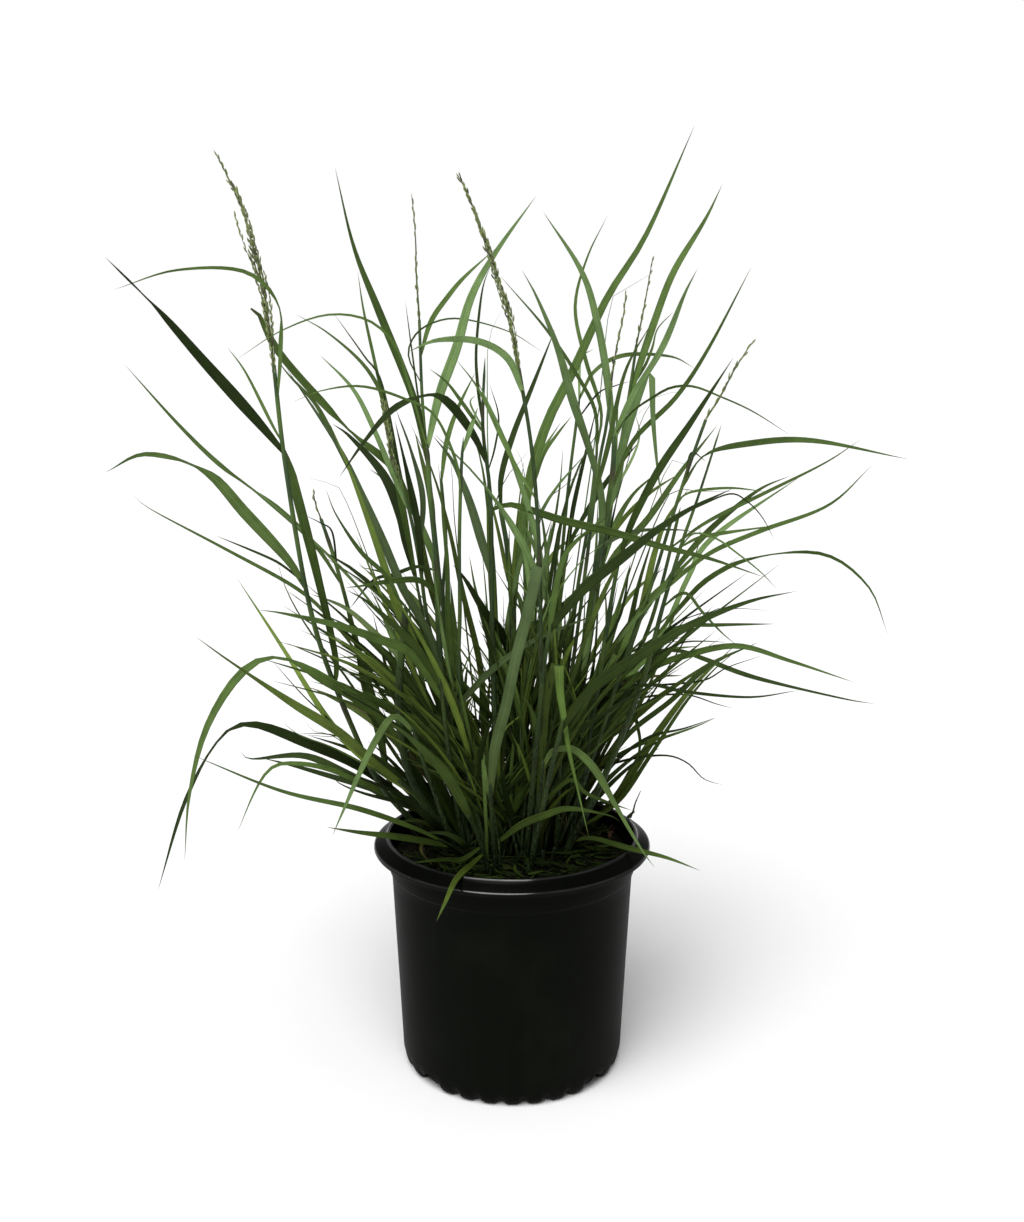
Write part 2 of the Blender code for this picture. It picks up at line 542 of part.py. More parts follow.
# Scallops: every other line of points in the bottom corner is drawn in
for vertex in pot.data.vertices:
    radius = math.hypot(vertex.co.x, vertex.co.y)
    in_corner = HEEL_HEIGHT / 2 < vertex.co.z < KNUCKLE_HEIGHT * 1.2 and radius > FOOT_RADIUS + EDGE_ROUND
    step = round(math.atan2(vertex.co.y, vertex.co.x) / math.tau * TURN_STEPS)
    if in_corner and step % 2 == 0:
        drawn = (radius - SCALLOP_DEPTH) / radius
        vertex.co.x *= drawn
        vertex.co.y *= drawn
        vertex.co.z += SCALLOP_DEPTH / 3

# Drain openings through the bottom corner
for number, angle in enumerate(DRAIN_ANGLES):
    bm = bmesh.new()
    bmesh.ops.create_cube(bm, size=1.0)
    bmesh.ops.scale(bm, vec=(DRAIN_WIDTH, DRAIN_CUT_DEPTH, DRAIN_HEIGHT * 2), verts=bm.verts)
    top_edges = []
    for edge in bm.edges:
        first, second = (vertex.co for vertex in edge.verts)
        if first.z > 0 and second.z > 0 and abs(first.x - second.x) < WELD:
            top_edges.append(edge)
    bmesh.ops.bevel(bm, geom=top_edges, offset=DRAIN_HEIGHT * DRAIN_ROUNDING, segments=2, affect="EDGES")
    mesh = bpy.data.meshes.new("drain_cutter_%d" % number)
    bm.to_mesh(mesh)
    bm.free()
    cutter = bpy.data.objects.new(mesh.name, mesh)
    cutters.objects.link(cutter)
    turn = math.radians(angle - 90)
    cutter.location = (math.cos(turn) * DRAIN_CUT_RADIUS, math.sin(turn) * DRAIN_CUT_RADIUS, 0.0)
    cutter.rotation_euler = (0.0, 0.0, turn + math.pi / 2)
    cutter.hide_render = True
    cutter.display_type = "WIRE"
    cut = pot.modifiers.new("drain_%d" % number, "BOOLEAN")
    cut.operation = "DIFFERENCE"
    cut.object = cutter
pot = baked(pot)
pot.data.shade_smooth()
pot.data.set_sharp_from_angle(angle=math.radians(35))

# Soil: fills the pot to just below its band
soil_profile = [
    (0.0, SOIL_HEIGHT),
    (SOIL_FLAT_RADIUS, SOIL_HEIGHT),
    (inner_top + SOIL_BITE, SOIL_EDGE_HEIGHT),
    (inner_top - GAP * 2, BAND_BOTTOM - 0.0035),
    (inner_foot - INNER_STEP - GAP * 2, CORNER_HEIGHT + LIP_EDGE_DEPTH + 0.0004),
    (FLOOR_RADIUS - GAP * 2, FLOOR_TOP + GAP),
    (0.0, FLOOR_TOP + GAP)]
soil = baked(turned("potting_soil", soil_profile, plant))
soil.data.materials.append(material("potting_soil", (0.022, 0.016, 0.011), 0.95))

leaf_green = material("leaf_green", (0.085, 0.150, 0.045), 0.55)
seed_green = material("seed_green", (0.260, 0.280, 0.120), 0.7)


def closed_object(name, bm, collection):
    mesh = bpy.data.meshes.new(name)
    bm.to_mesh(mesh)
    made = bpy.data.objects.new(name, mesh)
    collection.objects.link(made)
    return made


def shoot_pieces(shoot, slide, sway, extra):
    """The stem and blades of a shoot as separate closed meshes, slid along the line of sight."""
    name, width, foot, top, stem_points, blades = shoot
    chance = random.Random(name)
    path = stem_path(foot, top, stem_points, slide)
    stem = as_bmesh(tube_object(name, path, width + extra * 2 / MM, stem_tapers(STEM_TOP_WIDTH)))
    for vertex in stem.verts:
        if (vertex.co - path[0]).length < width * MM * 0.75:
            vertex.co.z = path[0].z
    pieces = [stem]
    for blade_width, collar, reach, points in blades:
        roll = math.radians(chance.uniform(-TWIST_LIMIT, TWIST_LIMIT))
        start = collar_point(path, collar)
        cut_end = name == "shoot_cut_leaf"
        pieces.append(blade_mesh(start, blade_width, reach * sway, points, slide, roll, cut_end, extra))
    return path, pieces


def head_mesh(head, path, sway, extra):
    line = head_path(head, path, sway)
    return tube_object(head[0], line, head[2] + extra * 2 / MM, head_tapers(HEAD_STATIONS), 1)


placed = [tree_of([as_bmesh(soil.data)]), tree_of([as_bmesh(pot.data)])]
slides = [0]
for step in range(1, SLIDE_LIMIT + 1):
    slides += [step * SLIDE_STEP / MM, -step * SLIDE_STEP / MM]
head_of = {head[1]: head for head in SEED_HEADS}

for shoot in SHOOTS:
    name, top = shoot[0], shoot[3]
    head = head_of.get(name)
    chosen = None
    fewest = None
    for sway in (1.0, 0.8, 1.25, 0.6, 1.5):
        for slide in slides:
            path, pieces = shoot_pieces(shoot, slide, sway, CLEARANCE / 2)
            tree = tree_of(pieces)
            clashes = sum(len(tree.overlap(other)) for other in placed)
            if fewest is None or clashes < fewest[0]:
                fewest = (clashes, slide, sway)
            if clashes == 0:
                chosen = (slide, sway)
                break
        if chosen:
            break
    if not chosen:
        print("no free place for", name, fewest)
        chosen = fewest[1:]
    path, pieces = shoot_pieces(shoot, chosen[0], chosen[1], 0.0)
    body = closed_object(name, pieces[0], plant)
    body.data.materials.append(leaf_green)
    for number, piece in enumerate(pieces[1:]):
        blade = closed_object("%s_blade_%d" % (name, number), piece, cutters)
        blade.hide_render = True
        blade.display_type = "WIRE"
        join = body.modifiers.new(blade.name, "BOOLEAN")
        join.operation = "UNION"
        join.object = blade
    baked(body)
    for blade in [b for b in cutters.objects if b.name.startswith(name + "_blade")]:
        bpy.data.objects.remove(blade)
    whole = [as_bmesh(body.data)]
    triangles = sum(len(face.vertices) - 2 for face in body.data.polygons)
    print(name, "slide", chosen, "tris", triangles)
    if head:
        others = placed + [tree_of(whole)]
        head_sway = None
        for sway in HEAD_SWAYS:
            tree = tree_of([as_bmesh(head_mesh(head, path, sway, CLEARANCE))])
            if not any(tree.overlap(other) for other in others):
                head_sway = sway
                break
        if head_sway is None:
            print("no free place for", head[0])
            head_sway = 0
        print(head[0], "sway", head_sway)
        mesh = head_mesh(head, path, head_sway, 0.0)
        seeds = bpy.data.objects.new(head[0], mesh)
        plant.objects.link(seeds)
        mesh.materials.append(seed_green)
        mesh.shade_smooth()
        whole.append(as_bmesh(mesh))
    placed.append(tree_of(whole))
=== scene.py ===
import math
import random

import bpy
from mathutils import Matrix, Vector


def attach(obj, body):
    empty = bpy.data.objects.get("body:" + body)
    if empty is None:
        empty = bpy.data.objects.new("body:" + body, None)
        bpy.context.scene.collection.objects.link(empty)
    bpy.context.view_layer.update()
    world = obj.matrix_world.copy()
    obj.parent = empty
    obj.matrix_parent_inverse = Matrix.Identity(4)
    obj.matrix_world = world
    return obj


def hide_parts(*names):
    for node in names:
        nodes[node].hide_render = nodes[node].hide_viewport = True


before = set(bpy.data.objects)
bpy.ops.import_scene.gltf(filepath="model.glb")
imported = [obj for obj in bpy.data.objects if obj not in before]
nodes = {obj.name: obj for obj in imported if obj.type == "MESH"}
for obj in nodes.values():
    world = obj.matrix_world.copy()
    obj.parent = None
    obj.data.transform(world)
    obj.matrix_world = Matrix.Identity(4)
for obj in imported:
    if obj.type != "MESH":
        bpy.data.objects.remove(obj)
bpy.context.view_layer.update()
mm = 0.001
print("loaded", len(nodes), "solids")


# Camera, at the height and distance that the photograph was taken from
cameraSetup = {"eye": (0.0, -1.080, 0.612), "pitchDown": 11, "lens": 38.39, "sensor": 36, "clipStart": 0.05}
sightPoint = Vector(cameraSetup["eye"])


def addToScene(name, data):
    made = bpy.data.objects.new(name, data)
    bpy.context.scene.collection.objects.link(made)
    return made


def addCamera():
    data = bpy.data.cameras.new("camera")
    data.lens = cameraSetup["lens"]
    data.sensor_width = cameraSetup["sensor"]
    data.clip_start = cameraSetup["clipStart"]
    made = addToScene("camera", data)
    made.location = sightPoint
    made.rotation_euler = (math.radians(90 - cameraSetup["pitchDown"]), 0, 0)
    bpy.context.scene.camera = made


addCamera()


# Small helpers for working as by hand
def onlySelect(*pieces):
    bpy.ops.object.select_all(action="DESELECT")
    for piece in pieces:
        piece.select_set(True)
    bpy.context.view_layer.objects.active = pieces[0]


def addPiece(name, primitive, **settings):
    bpy.ops.object.select_all(action="DESELECT")
    primitive(**settings)
    piece = bpy.context.active_object
    bpy.ops.object.transform_apply(location=True, rotation=True, scale=True)
    piece.name = name
    return piece


# Leaves the piece in edit mode with only those points or edges picked that pass the test
def pick(piece, mode, test=None):
    onlySelect(piece)
    bpy.ops.object.mode_set(mode="EDIT")
    bpy.ops.mesh.select_mode(type=mode)
    bpy.ops.mesh.select_all(action="DESELECT")
    bpy.ops.object.mode_set(mode="OBJECT")
    for part in (piece.data.vertices if mode == "VERT" else piece.data.edges):
        part.select = test is None or test(part)
    bpy.ops.object.mode_set(mode="EDIT")


def endEdit():
    bpy.ops.object.mode_set(mode="OBJECT")


# Draws a closed shell ring by ring from the rim of a disc; the profile holds radius and height in millimetres
def raiseRings(piece, profile):
    pick(piece, "EDGE")
    for (radius, height), (nextRadius, nextHeight) in zip(profile, profile[1:]):
        bpy.ops.mesh.extrude_edges_move(TRANSFORM_OT_translate={"value": (0, 0, (nextHeight - height) * mm)})
        grow = nextRadius / radius
        bpy.ops.transform.resize(value=(grow, grow, 1.0), center_override=(0, 0, nextHeight * mm))
    bpy.ops.mesh.edge_face_add()
    bpy.ops.mesh.select_all(action="SELECT")
    bpy.ops.mesh.normals_make_consistent(inside=False)
    endEdit()


def applyModifier(piece, kind, settings):
    onlySelect(piece)
    made = piece.modifiers.new(kind.lower(), kind)
    for name, value in settings.items():
        setattr(made, name, value)
    bpy.ops.object.modifier_apply(modifier=made.name)


def joinPieces(pieces, name):
    onlySelect(*pieces)
    if len(pieces) > 1:
        bpy.ops.object.join()
    pieces[0].name = name
    pieces[0].data.name = name
    return pieces[0]


def ownCopy(piece):
    return addToScene(piece.name, piece.data.copy())


def paint(piece, colour, spread, chance):
    layer = piece.data.color_attributes.new("tint", "FLOAT_COLOR", "POINT")
    factor = 1.0 + sway(chance, spread)
    for item in layer.data:
        item.color = (colour[0] * factor, colour[1] * factor, colour[2] * factor, 1.0)


def limited(value):
    return max(0.0, min(1.0, value))


def sway(chance, most):
    return chance.uniform(-most, most)


# Painted shade: low and deep in the clump the colours are darkened, standing for the shadow the clump casts
# on itself and partly for older leaves; outside it they keep their full colour
shadeSetup = {"low": 200, "high": 520, "near": 85, "far": 190, "blueFall": 1.45,
              "leaf": (0.21, 0.8), "stem": (0.04, 1.25)}


def paintClumpShade(piece, kind):
    least, bend = shadeSetup[kind]
    low, near = shadeSetup["low"], shadeSetup["near"]
    for vert, item in zip(piece.data.vertices, piece.data.color_attributes["tint"].data):
        rise = (vert.co.z / mm - low) / (shadeSetup["high"] - low)
        away = (math.hypot(vert.co.x, vert.co.y) / mm - near) / (shadeSetup["far"] - near)
        factor = least + (1.0 - least) * max(limited(rise) ** bend, limited(away))
        red, green, blue = item.color[:3]
        item.color = (red * factor, green * factor, blue * factor ** shadeSetup["blueFall"], 1.0)


def settle(piece, stuff, replaced=()):
    piece.data.materials.clear()
    piece.data.materials.append(stuff)
    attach(piece, "root")
    if replaced:
        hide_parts(*replaced)


# Shader maths: a socket with operators
class Flow:
    def __init__(self, tree, socket):
        self.tree = tree
        self.socket = socket

    def math(self, operation, other=None, swapped=False, clamp=False):
        made = self.tree.nodes.new("ShaderNodeMath")
        made.operation = operation
        made.use_clamp = clamp
        for place, value in enumerate((other, self) if swapped else (self, other)):
            if value is not None:
                fill(self.tree, made.inputs[place], value)
        return Flow(self.tree, made.outputs[0])

    def __add__(self, other):
        return self.math("ADD", other)

    def __sub__(self, other):
        return self.math("SUBTRACT", other)

    def __rsub__(self, other):
        return self.math("SUBTRACT", other, swapped=True)

    def __mul__(self, other):
        return self.math("MULTIPLY", other)

    def clamped(self):
        return self.math("ADD", 0.0, clamp=True)

    def between(self, low, high):
        return node(self.tree, "ShaderNodeMapRange", {"interpolation_type": "SMOOTHSTEP"},
                    {"Value": self, "From Min": low, "From Max": high}, "Result")


def fill(tree, socket, value):
    if isinstance(value, Flow):
        tree.links.new(value.socket, socket)
    else:
        socket.default_value = value


def node(tree, kind, settings, sockets, output):
    made = tree.nodes.new(kind)
    for name, value in settings.items():
        setattr(made, name, value)
    for name, value in sockets.items():
        fill(tree, made.inputs[name], value)
    return Flow(tree, made.outputs[output])


def ramped(tree, factor, stops):
    made = tree.nodes.new("ShaderNodeValToRGB")
    elements = made.color_ramp.elements
    while len(elements) < len(stops):
        elements.new(0.5)
    for element, (place, colour) in zip(elements, stops):
        element.position = place
        element.color = (*colour, 1.0)
    fill(tree, made.inputs["Fac"], factor)
    return Flow(tree, made.outputs["Color"])


def mixColours(tree, factor, first, second, blend="MIX"):
    made = tree.nodes.new("ShaderNodeMix")
    made.data_type = "RGBA"
    made.blend_type = blend
    for place, value in ((0, factor), (6, first), (7, second)):
        fill(tree, made.inputs[place], (*value, 1.0) if isinstance(value, tuple) else value)
    return Flow(tree, made.outputs[2])


def tintOf(tree):
    return node(tree, "ShaderNodeAttribute", {"attribute_name": "tint"}, {}, "Color")


def placeOf(tree, tall=1.0):
    place = node(tree, "ShaderNodeTexCoord", {}, {}, "Object")
    return node(tree, "ShaderNodeMapping", {}, {"Vector": place, "Scale": (1.0, 1.0, tall)}, "Vector")


def noise(place, scale, detail):
    sockets = {"Vector": place, "Scale": scale, "Detail": detail}
    return node(place.tree, "ShaderNodeTexNoise", {}, sockets, "Fac")


def axisOf(vector, axis):
    return node(vector.tree, "ShaderNodeSeparateXYZ", {}, {"Vector": vector}, axis)


def newMaterial(name, constants):
    made = bpy.data.materials.new(name)
    made.use_nodes = True
    for socket, value in constants.items():
        made.node_tree.nodes["Principled BSDF"].inputs[socket].default_value = value
    return made, made.node_tree


def dress(made, flows, height, strength, distance):
    tree = made.node_tree
    bump = {"Height": height, "Strength": strength, "Distance": distance}
    flows["Normal"] = node(tree, "ShaderNodeBump", {}, bump, "Normal")
    for socket, flow in flows.items():
        fill(tree, tree.nodes["Principled BSDF"].inputs[socket], flow)
    return made


# Leaf colours, pale and greyish to deep greens; the darker tints, "shade" and "dark" most of all, are partly
# painted shade, darkening whole blades that lie in shadow or show their shaded undersides
leafTints = {
    "light": (0.168, 0.270, 0.096), "pale": (0.215, 0.310, 0.125), "mid": (0.092, 0.155, 0.039),
    "deep": (0.056, 0.096, 0.021), "dark": (0.027, 0.047, 0.011), "grey": (0.078, 0.121, 0.050),
    "fresh": (0.128, 0.218, 0.054), "shade": (0.039, 0.068, 0.015), "olive": (0.088, 0.130, 0.030),
    "bright": (0.150, 0.225, 0.045), "brown": (0.100, 0.072, 0.034), "straw": (0.215, 0.195, 0.095)}


def leafMaterial():
    made, tree = newMaterial("grassLeaf", {"Specular IOR Level": 0.07})
    tint = tintOf(tree)
    uv = node(tree, "ShaderNodeUVMap", {"uv_map": "leafUv"}, {}, "UV")
    across, along = axisOf(uv, "X"), axisOf(uv, "Y")
    blotch = noise(placeOf(tree), 60.0, 4.0)
    veins = (across * 56.0).math("SINE") * 0.5 + 0.5
    rib = (across - 0.5).math("ABSOLUTE").between(0.07, 0.015)
    shade = veins * 0.22 + blotch * 0.9 + 0.44
    grey = node(tree, "ShaderNodeCombineColor", {}, {"Red": shade, "Green": shade, "Blue": shade}, "Color")
    body = mixColours(tree, 1.0, tint, grey, "MULTIPLY")
    paleRib = mixColours(tree, 1.0, tint, (1.75, 1.55, 1.6), "MULTIPLY")
    withRib = mixColours(tree, rib * 0.55 * along.between(0.9, 0.5), body, paleRib)
    base = mixColours(tree, along.between(0.10, 0.0) * 0.5, withRib, paleRib)
    deepTip = mixColours(tree, along.between(0.50, 1.0) * 0.16, base, (0.030, 0.044, 0.018))
    dryTip = mixColours(tree, 1.0, tint, (0.85, 0.50, 0.85), "MULTIPLY")
    dryness = (along + blotch * 0.06).between(0.955, 1.02)
    tipped = mixColours(tree, dryness * 0.8, deepTip, dryTip)
    return dress(made, {"Base Color": tipped, "Roughness": 0.62 - veins * 0.10 + blotch * 0.08},
                 veins + rib * 1.5, 0.35, 0.0003)


def stemMaterial():
    made, tree = newMaterial("grassStem", {"Specular IOR Level": 0.1})
    streaks = noise(placeOf(tree, 0.04), 1500.0, 3.0)
    patches = noise(placeOf(tree), 45.0, 4.0)
    bloom = mixColours(tree, streaks.between(0.42, 0.72) * 0.6, tintOf(tree), (0.070, 0.110, 0.052))
    colour = mixColours(tree, patches.between(0.35, 0.75) * 0.45, bloom, (0.024, 0.042, 0.011))
    return dress(made, {"Base Color": colour, "Roughness": streaks * 0.2 + 0.42}, streaks, 0.3, 0.0004)


def seedMaterial():
    made, tree = newMaterial("seedHead", {"Specular IOR Level": 0.3})
    speck = noise(placeOf(tree), 520.0, 3.0)
    colour = mixColours(tree, speck.between(0.40, 0.68) * 0.4, tintOf(tree), (0.070, 0.066, 0.036))
    return dress(made, {"Base Color": colour, "Roughness": speck * 0.25 + 0.5}, speck, 0.5, 0.0004)


grassLeaf = leafMaterial()
grassStem = stemMaterial()
seedStuff = seedMaterial()
print("leaf, stem and seed finishes are ready")


# One blade, one length of stem and one spikelet are modelled here and copied for every shoot
bladeSetup = {"rows": 26, "columns": 4, "lightRows": 9, "lightColumns": 2, "keel": 0.16, "keelHalfWay": 0.35,
              "widestAt": 0.3, "baseWidth": 0.35, "taper": (1.6, 1.05), "foldTaper": 1.25, "cutShare": 0.9,
              "fullness": 0.98, "leastWidth": 0.40, "tintSpread": 0.28, "rollTurns": 0.8, "twist": 0.75,
              "steadyTwist": 0.1, "twistTurns": (1.2, 2.6), "edgeTurn": 1.38, "edgeSpan": 0.10}
stemSetup = {"sides": 8, "rings": 30, "lightSides": 6, "lightRings": 8, "jointEvery": 85, "ending": 25,
             "leastEnding": 0.12, "endsBelow": 0.65, "jointSwell": 0.20, "swellFall": 10, "sheathSwell": 0.10,
             "jointLength": 0.05, "sheathShade": 0.9, "lowShade": 0.8, "bloomFrom": 1.6, "bloomFall": 2.2,
             "bloom": (0.036, 0.066, 0.028), "joint": (0.060, 0.050, 0.030)}
spikeletSetup = {"sides": 6, "rings": 5, "length": 4.6, "width": 1.3, "tip": 0.55,
                 "lengths": (0.8, 1.2), "widths": (0.8, 1.1)}


def modelBlade(columns, rows):
    piece = addPiece("bladePattern", bpy.ops.mesh.primitive_grid_add, x_subdivisions=columns,
                     y_subdivisions=rows, size=1.0, location=(0, 0.5, 0))
    piece.data.uv_layers[0].name = "leafUv"
    for inner, outer, share in ((-1.0, 0.01, 1.0), (0.2, 0.3, bladeSetup["keelHalfWay"])):
        pick(piece, "VERT", lambda vert: inner < abs(vert.co.x) < outer)
        bpy.ops.transform.translate(value=(0, 0, -bladeSetup["keel"] * share))
        endEdit()
    bpy.ops.object.shade_smooth()
    return piece


def modelStem(sides, rings):
    piece = addPiece("stemPattern", bpy.ops.mesh.primitive_cylinder_add, vertices=sides, radius=1.0,
                     depth=1.0, location=(0, 0, 0.5))

    def upright(edge):
        low, high = (piece.data.vertices[number].co.z for number in edge.vertices)
        return abs(low - high) > 0.5

    pick(piece, "EDGE", upright)
    bpy.ops.mesh.subdivide(number_cuts=rings)
    endEdit()
    bpy.ops.object.shade_smooth()
    return piece


def modelSpikelet():
    piece = addPiece("spikeletPattern", bpy.ops.mesh.primitive_uv_sphere_add, segments=spikeletSetup["sides"],
                     ring_count=spikeletSetup["rings"], radius=0.5, location=(0, 0, 0.5))
    pick(piece, "VERT", lambda vert: vert.co.z > 0.7)
    bpy.ops.transform.resize(value=(spikeletSetup["tip"], spikeletSetup["tip"], 1.0))
    endEdit()
    return piece


bladePattern = modelBlade(bladeSetup["columns"], bladeSetup["rows"])
stemPattern = modelStem(stemSetup["sides"], stemSetup["rings"])
lightBlade = modelBlade(bladeSetup["lightColumns"], bladeSetup["lightRows"])
lightStem = modelStem(stemSetup["lightSides"], stemSetup["lightRings"])
spikeletPattern = modelSpikelet()


# A point in millimetres on the upright plane through the pot's axis, moved along its line of sight to a depth
def seen(across, up, depth):
    onPlane = Vector((across * mm, 0.0, up * mm))
    share = (depth * mm - sightPoint.y) / -sightPoint.y
    return sightPoint + (onPlane - sightPoint) * share


# The way back: where a point in space shows on that plane, in millimetres
def shownAt(spot):
    toEye = (sightPoint.y - spot.y) / sightPoint.y
    onPlane = sightPoint + (spot - sightPoint) / toEye
    return Vector((onPlane.x, onPlane.z)) / mm


def smoothPath(points, count):
    dense = []
    ends = [points[0] * 2 - points[1]] + list(points) + [points[-1] * 2 - points[-2]]
    for i in range(1, len(ends) - 2):
        a, b, c, d = ends[i - 1:i + 3]
        for step in range(8):
            t = step / 8
            dense.append(0.5 * (2 * b + (c - a) * t + (2 * a - 5 * b + 4 * c - d) * t * t
                                + (3 * b - a - 3 * c + d) * t ** 3))
    dense.append(points[-1].copy())
    lengths = [0.0]
    for a, b in zip(dense, dense[1:]):
        lengths.append(lengths[-1] + (b - a).length)
    picked = []
    j = 0
    for i in range(count):
        goal = lengths[-1] * i / (count - 1)
        while j < len(lengths) - 2 and lengths[j + 1] < goal:
            j += 1
        span = lengths[j + 1] - lengths[j]
        share = (goal - lengths[j]) / span if span else 0.0
        picked.append(dense[j].lerp(dense[j + 1], min(1.0, share)))
    return picked


def frameAt(path, i):
    along = (path[min(i + 1, len(path) - 1)] - path[max(i - 1, 0)]).normalized()
    sight = (path[i] - sightPoint).normalized()
    side = along.cross(sight)
    if side.length < 1e-6:
        side = along.cross(Vector((0, 0, 1)))
    return along, sight, side.normalized()


def bladeWidth(share, shape):
    widest, base = bladeSetup["widestAt"], bladeSetup["baseWidth"]
    if shape == "folded":
        return (1.0 - share) ** bladeSetup["foldTaper"]
    if shape == "blunt":
        return min(1.0, 0.4 + share * 2, 0.25 + (1.0 - share) * 7)
    if share < widest:
        return base + (1.0 - base) * math.sin(share / widest * math.pi / 2)
    if shape == "cut":
        return 1.0
    fall, rounding = bladeSetup["taper"]
    return (1.0 - ((share - widest) / (1.0 - widest)) ** fall) ** rounding


def layBlade(path, width, roll, tint, chance, shape="pointed", edgeOn=None, light=False, steady=False):
    piece = ownCopy(lightBlade if light else bladePattern)
    count = bladeSetup["lightRows" if light else "rows"]
    rows = smoothPath(path, count + 1)
    frames = []
    flat = shape in ("cut", "folded")
    twist = sway(chance, bladeSetup["twist"]) * (bladeSetup["steadyTwist"] if flat or steady else 1.0)
    turns = chance.uniform(*bladeSetup["twistTurns"])
    for i, spot in enumerate(rows):
        along, sight, side = frameAt(rows, i)
        share = i / count
        angle = roll * math.sin(share * math.pi * bladeSetup["rollTurns"])
        angle += twist * math.sin(share * math.pi * turns)
        if edgeOn is not None:
            turned = math.exp(-((share - edgeOn) / bladeSetup["edgeSpan"]) ** 2)
            angle += (bladeSetup["edgeTurn"] - angle) * turned
        side = Matrix.Rotation(angle, 3, along) @ side
        back = side.cross(along).normalized()
        if back.dot(sight) < 0:
            back.negate()
        near = (spot.y - sightPoint.y) / -sightPoint.y
        wide = width * bladeSetup["fullness"] * bladeWidth(share, shape)
        wide += bladeSetup["leastWidth"] * (1.0 - share ** 8)
        frames.append((spot, side, back, mm * near * wide))
    for vert in piece.data.vertices:
        spot, side, back, full = frames[round(vert.co.y * count)]
        vert.co = spot + side * (vert.co.x * full) - back * (0.0 if flat else vert.co.z * full)
    if shape == "cut":
        for corner in piece.data.uv_layers["leafUv"].data:
            corner.uv[1] *= bladeSetup["cutShare"]
    paint(piece, leafTints[tint], bladeSetup["tintSpread"], chance)
    return piece


def layStem(path, width, topShare, chance, joints=1, tint="mid", light=False):
    piece = ownCopy(lightStem if light else stemPattern)
    rings = stemSetup["lightRings" if light else "rings"] + 2
    rows = smoothPath(path, rings)
    layer = piece.data.color_attributes.new("tint", "FLOAT_COLOR", "POINT")
    sheath = Vector(leafTints[tint]) * stemSetup["sheathShade"]
    frames = []
    for i, spot in enumerate(rows):
        along, sight, side = frameAt(rows, i)
        frames.append((spot, side, side.cross(along).normalized()))
    offset = chance.uniform(0.1, 0.9)
    for number, vert in enumerate(piece.data.vertices):
        i = round(vert.co.z * (rings - 1))
        spot, side, back = frames[i]
        share = i / (rings - 1)
        cycle = (share * joints + offset) % 1.0
        swell = 1.0 + stemSetup["jointSwell"] * max(0.0, 1.0 - cycle * stemSetup["swellFall"])
        swell += stemSetup["sheathSwell"] * cycle
        ending = 1.0
        if topShare < stemSetup["endsBelow"]:
            ending = min(1.0, stemSetup["leastEnding"] + (1.0 - share) * stemSetup["ending"])
        radius = width * mm / 2 * (1.0 - (1.0 - topShare) * share) * swell * ending
        bloom = limited(stemSetup["bloomFrom"] - cycle * stemSetup["bloomFall"])
        colour = sheath.lerp(Vector(stemSetup["bloom"]), bloom)
        if cycle < stemSetup["jointLength"]:
            colour = Vector(stemSetup["joint"])
        colour = colour * (stemSetup["lowShade"] + 0.4 * min(1.0, share * 1.5))
        layer.data[number].color = (*colour, 1.0)
        vert.co = spot + (side * vert.co.x + back * vert.co.y) * radius
    return piece


def stemPath(entry, slide):
    low, high = entry["stem"][0][1], entry["stem"][-1][1]
    lean = (entry["topDepth"] - entry["footDepth"]) * plantSetup["leanSpread"]
    path = []
    for across, up in entry["stem"]:
        rise = (up - low) / (high - low)
        path.append(seen(across, up, entry["footDepth"] + lean * rise ** plantSetup["leanBend"] + slide))
    path[0].z = plantSetup["soilTop"] * mm
    return smoothPath(path, plantSetup["stemRows"])


# The point of a stem that shows at the height of a leaf's collar
def collarPoint(path, up):
    best = None
    steps = plantSetup["collarSteps"]
    for i in range(steps):
        share = i / steps * (len(path) - 1)
        part = int(share)
        spot = path[part].lerp(path[part + 1], share - part)
        ray = spot - sightPoint
        miss = abs(sightPoint.z - ray.z * sightPoint.y / ray.y - up * mm)
        if best is None or miss < best[0]:
            best = (miss, spot)
    return best[1]


def bladePath(start, reach, points):
    last = shownAt(start)
    spans = [0.0]
    for point in points:
        spans.append(spans[-1] + (Vector(point) - last).length)
        last = Vector(point)
    path = [start]
    for (across, up), span in zip(points, spans[1:]):
        further = reach * plantSetup["reachSpread"] * (span / spans[-1]) ** plantSetup["reachBend"]
        path.append(seen(across, up, start.y / mm + further))
    return path


# The grass, in millimetres on the upright plane through the pot's axis.
# A shoot: width of its stem, depth of its foot and of its top, and its stem from foot to top.
# A blade of it: tint, width, height of its collar, reach in depth, and its line to the tip.
plantSetup = {"soilTop": 190, "leanSpread": 1.35, "leanBend": 1.3, "reachSpread": 1.5, "reachBend": 1.2,
              "sheet": 0.22, "roll": 28, "headTop": 0.68, "top": 0.6, "stemRows": 24, "collarSteps": 120,
              "footBand": 0.2}
shoots = {}


def shoot(name, stemWidth, footDepth, topDepth, stem, *blades):
    shoots["shoot_" + name] = {"stemWidth": stemWidth, "footDepth": footDepth, "topDepth": topDepth,
                               "stem": stem, "blades": blades}


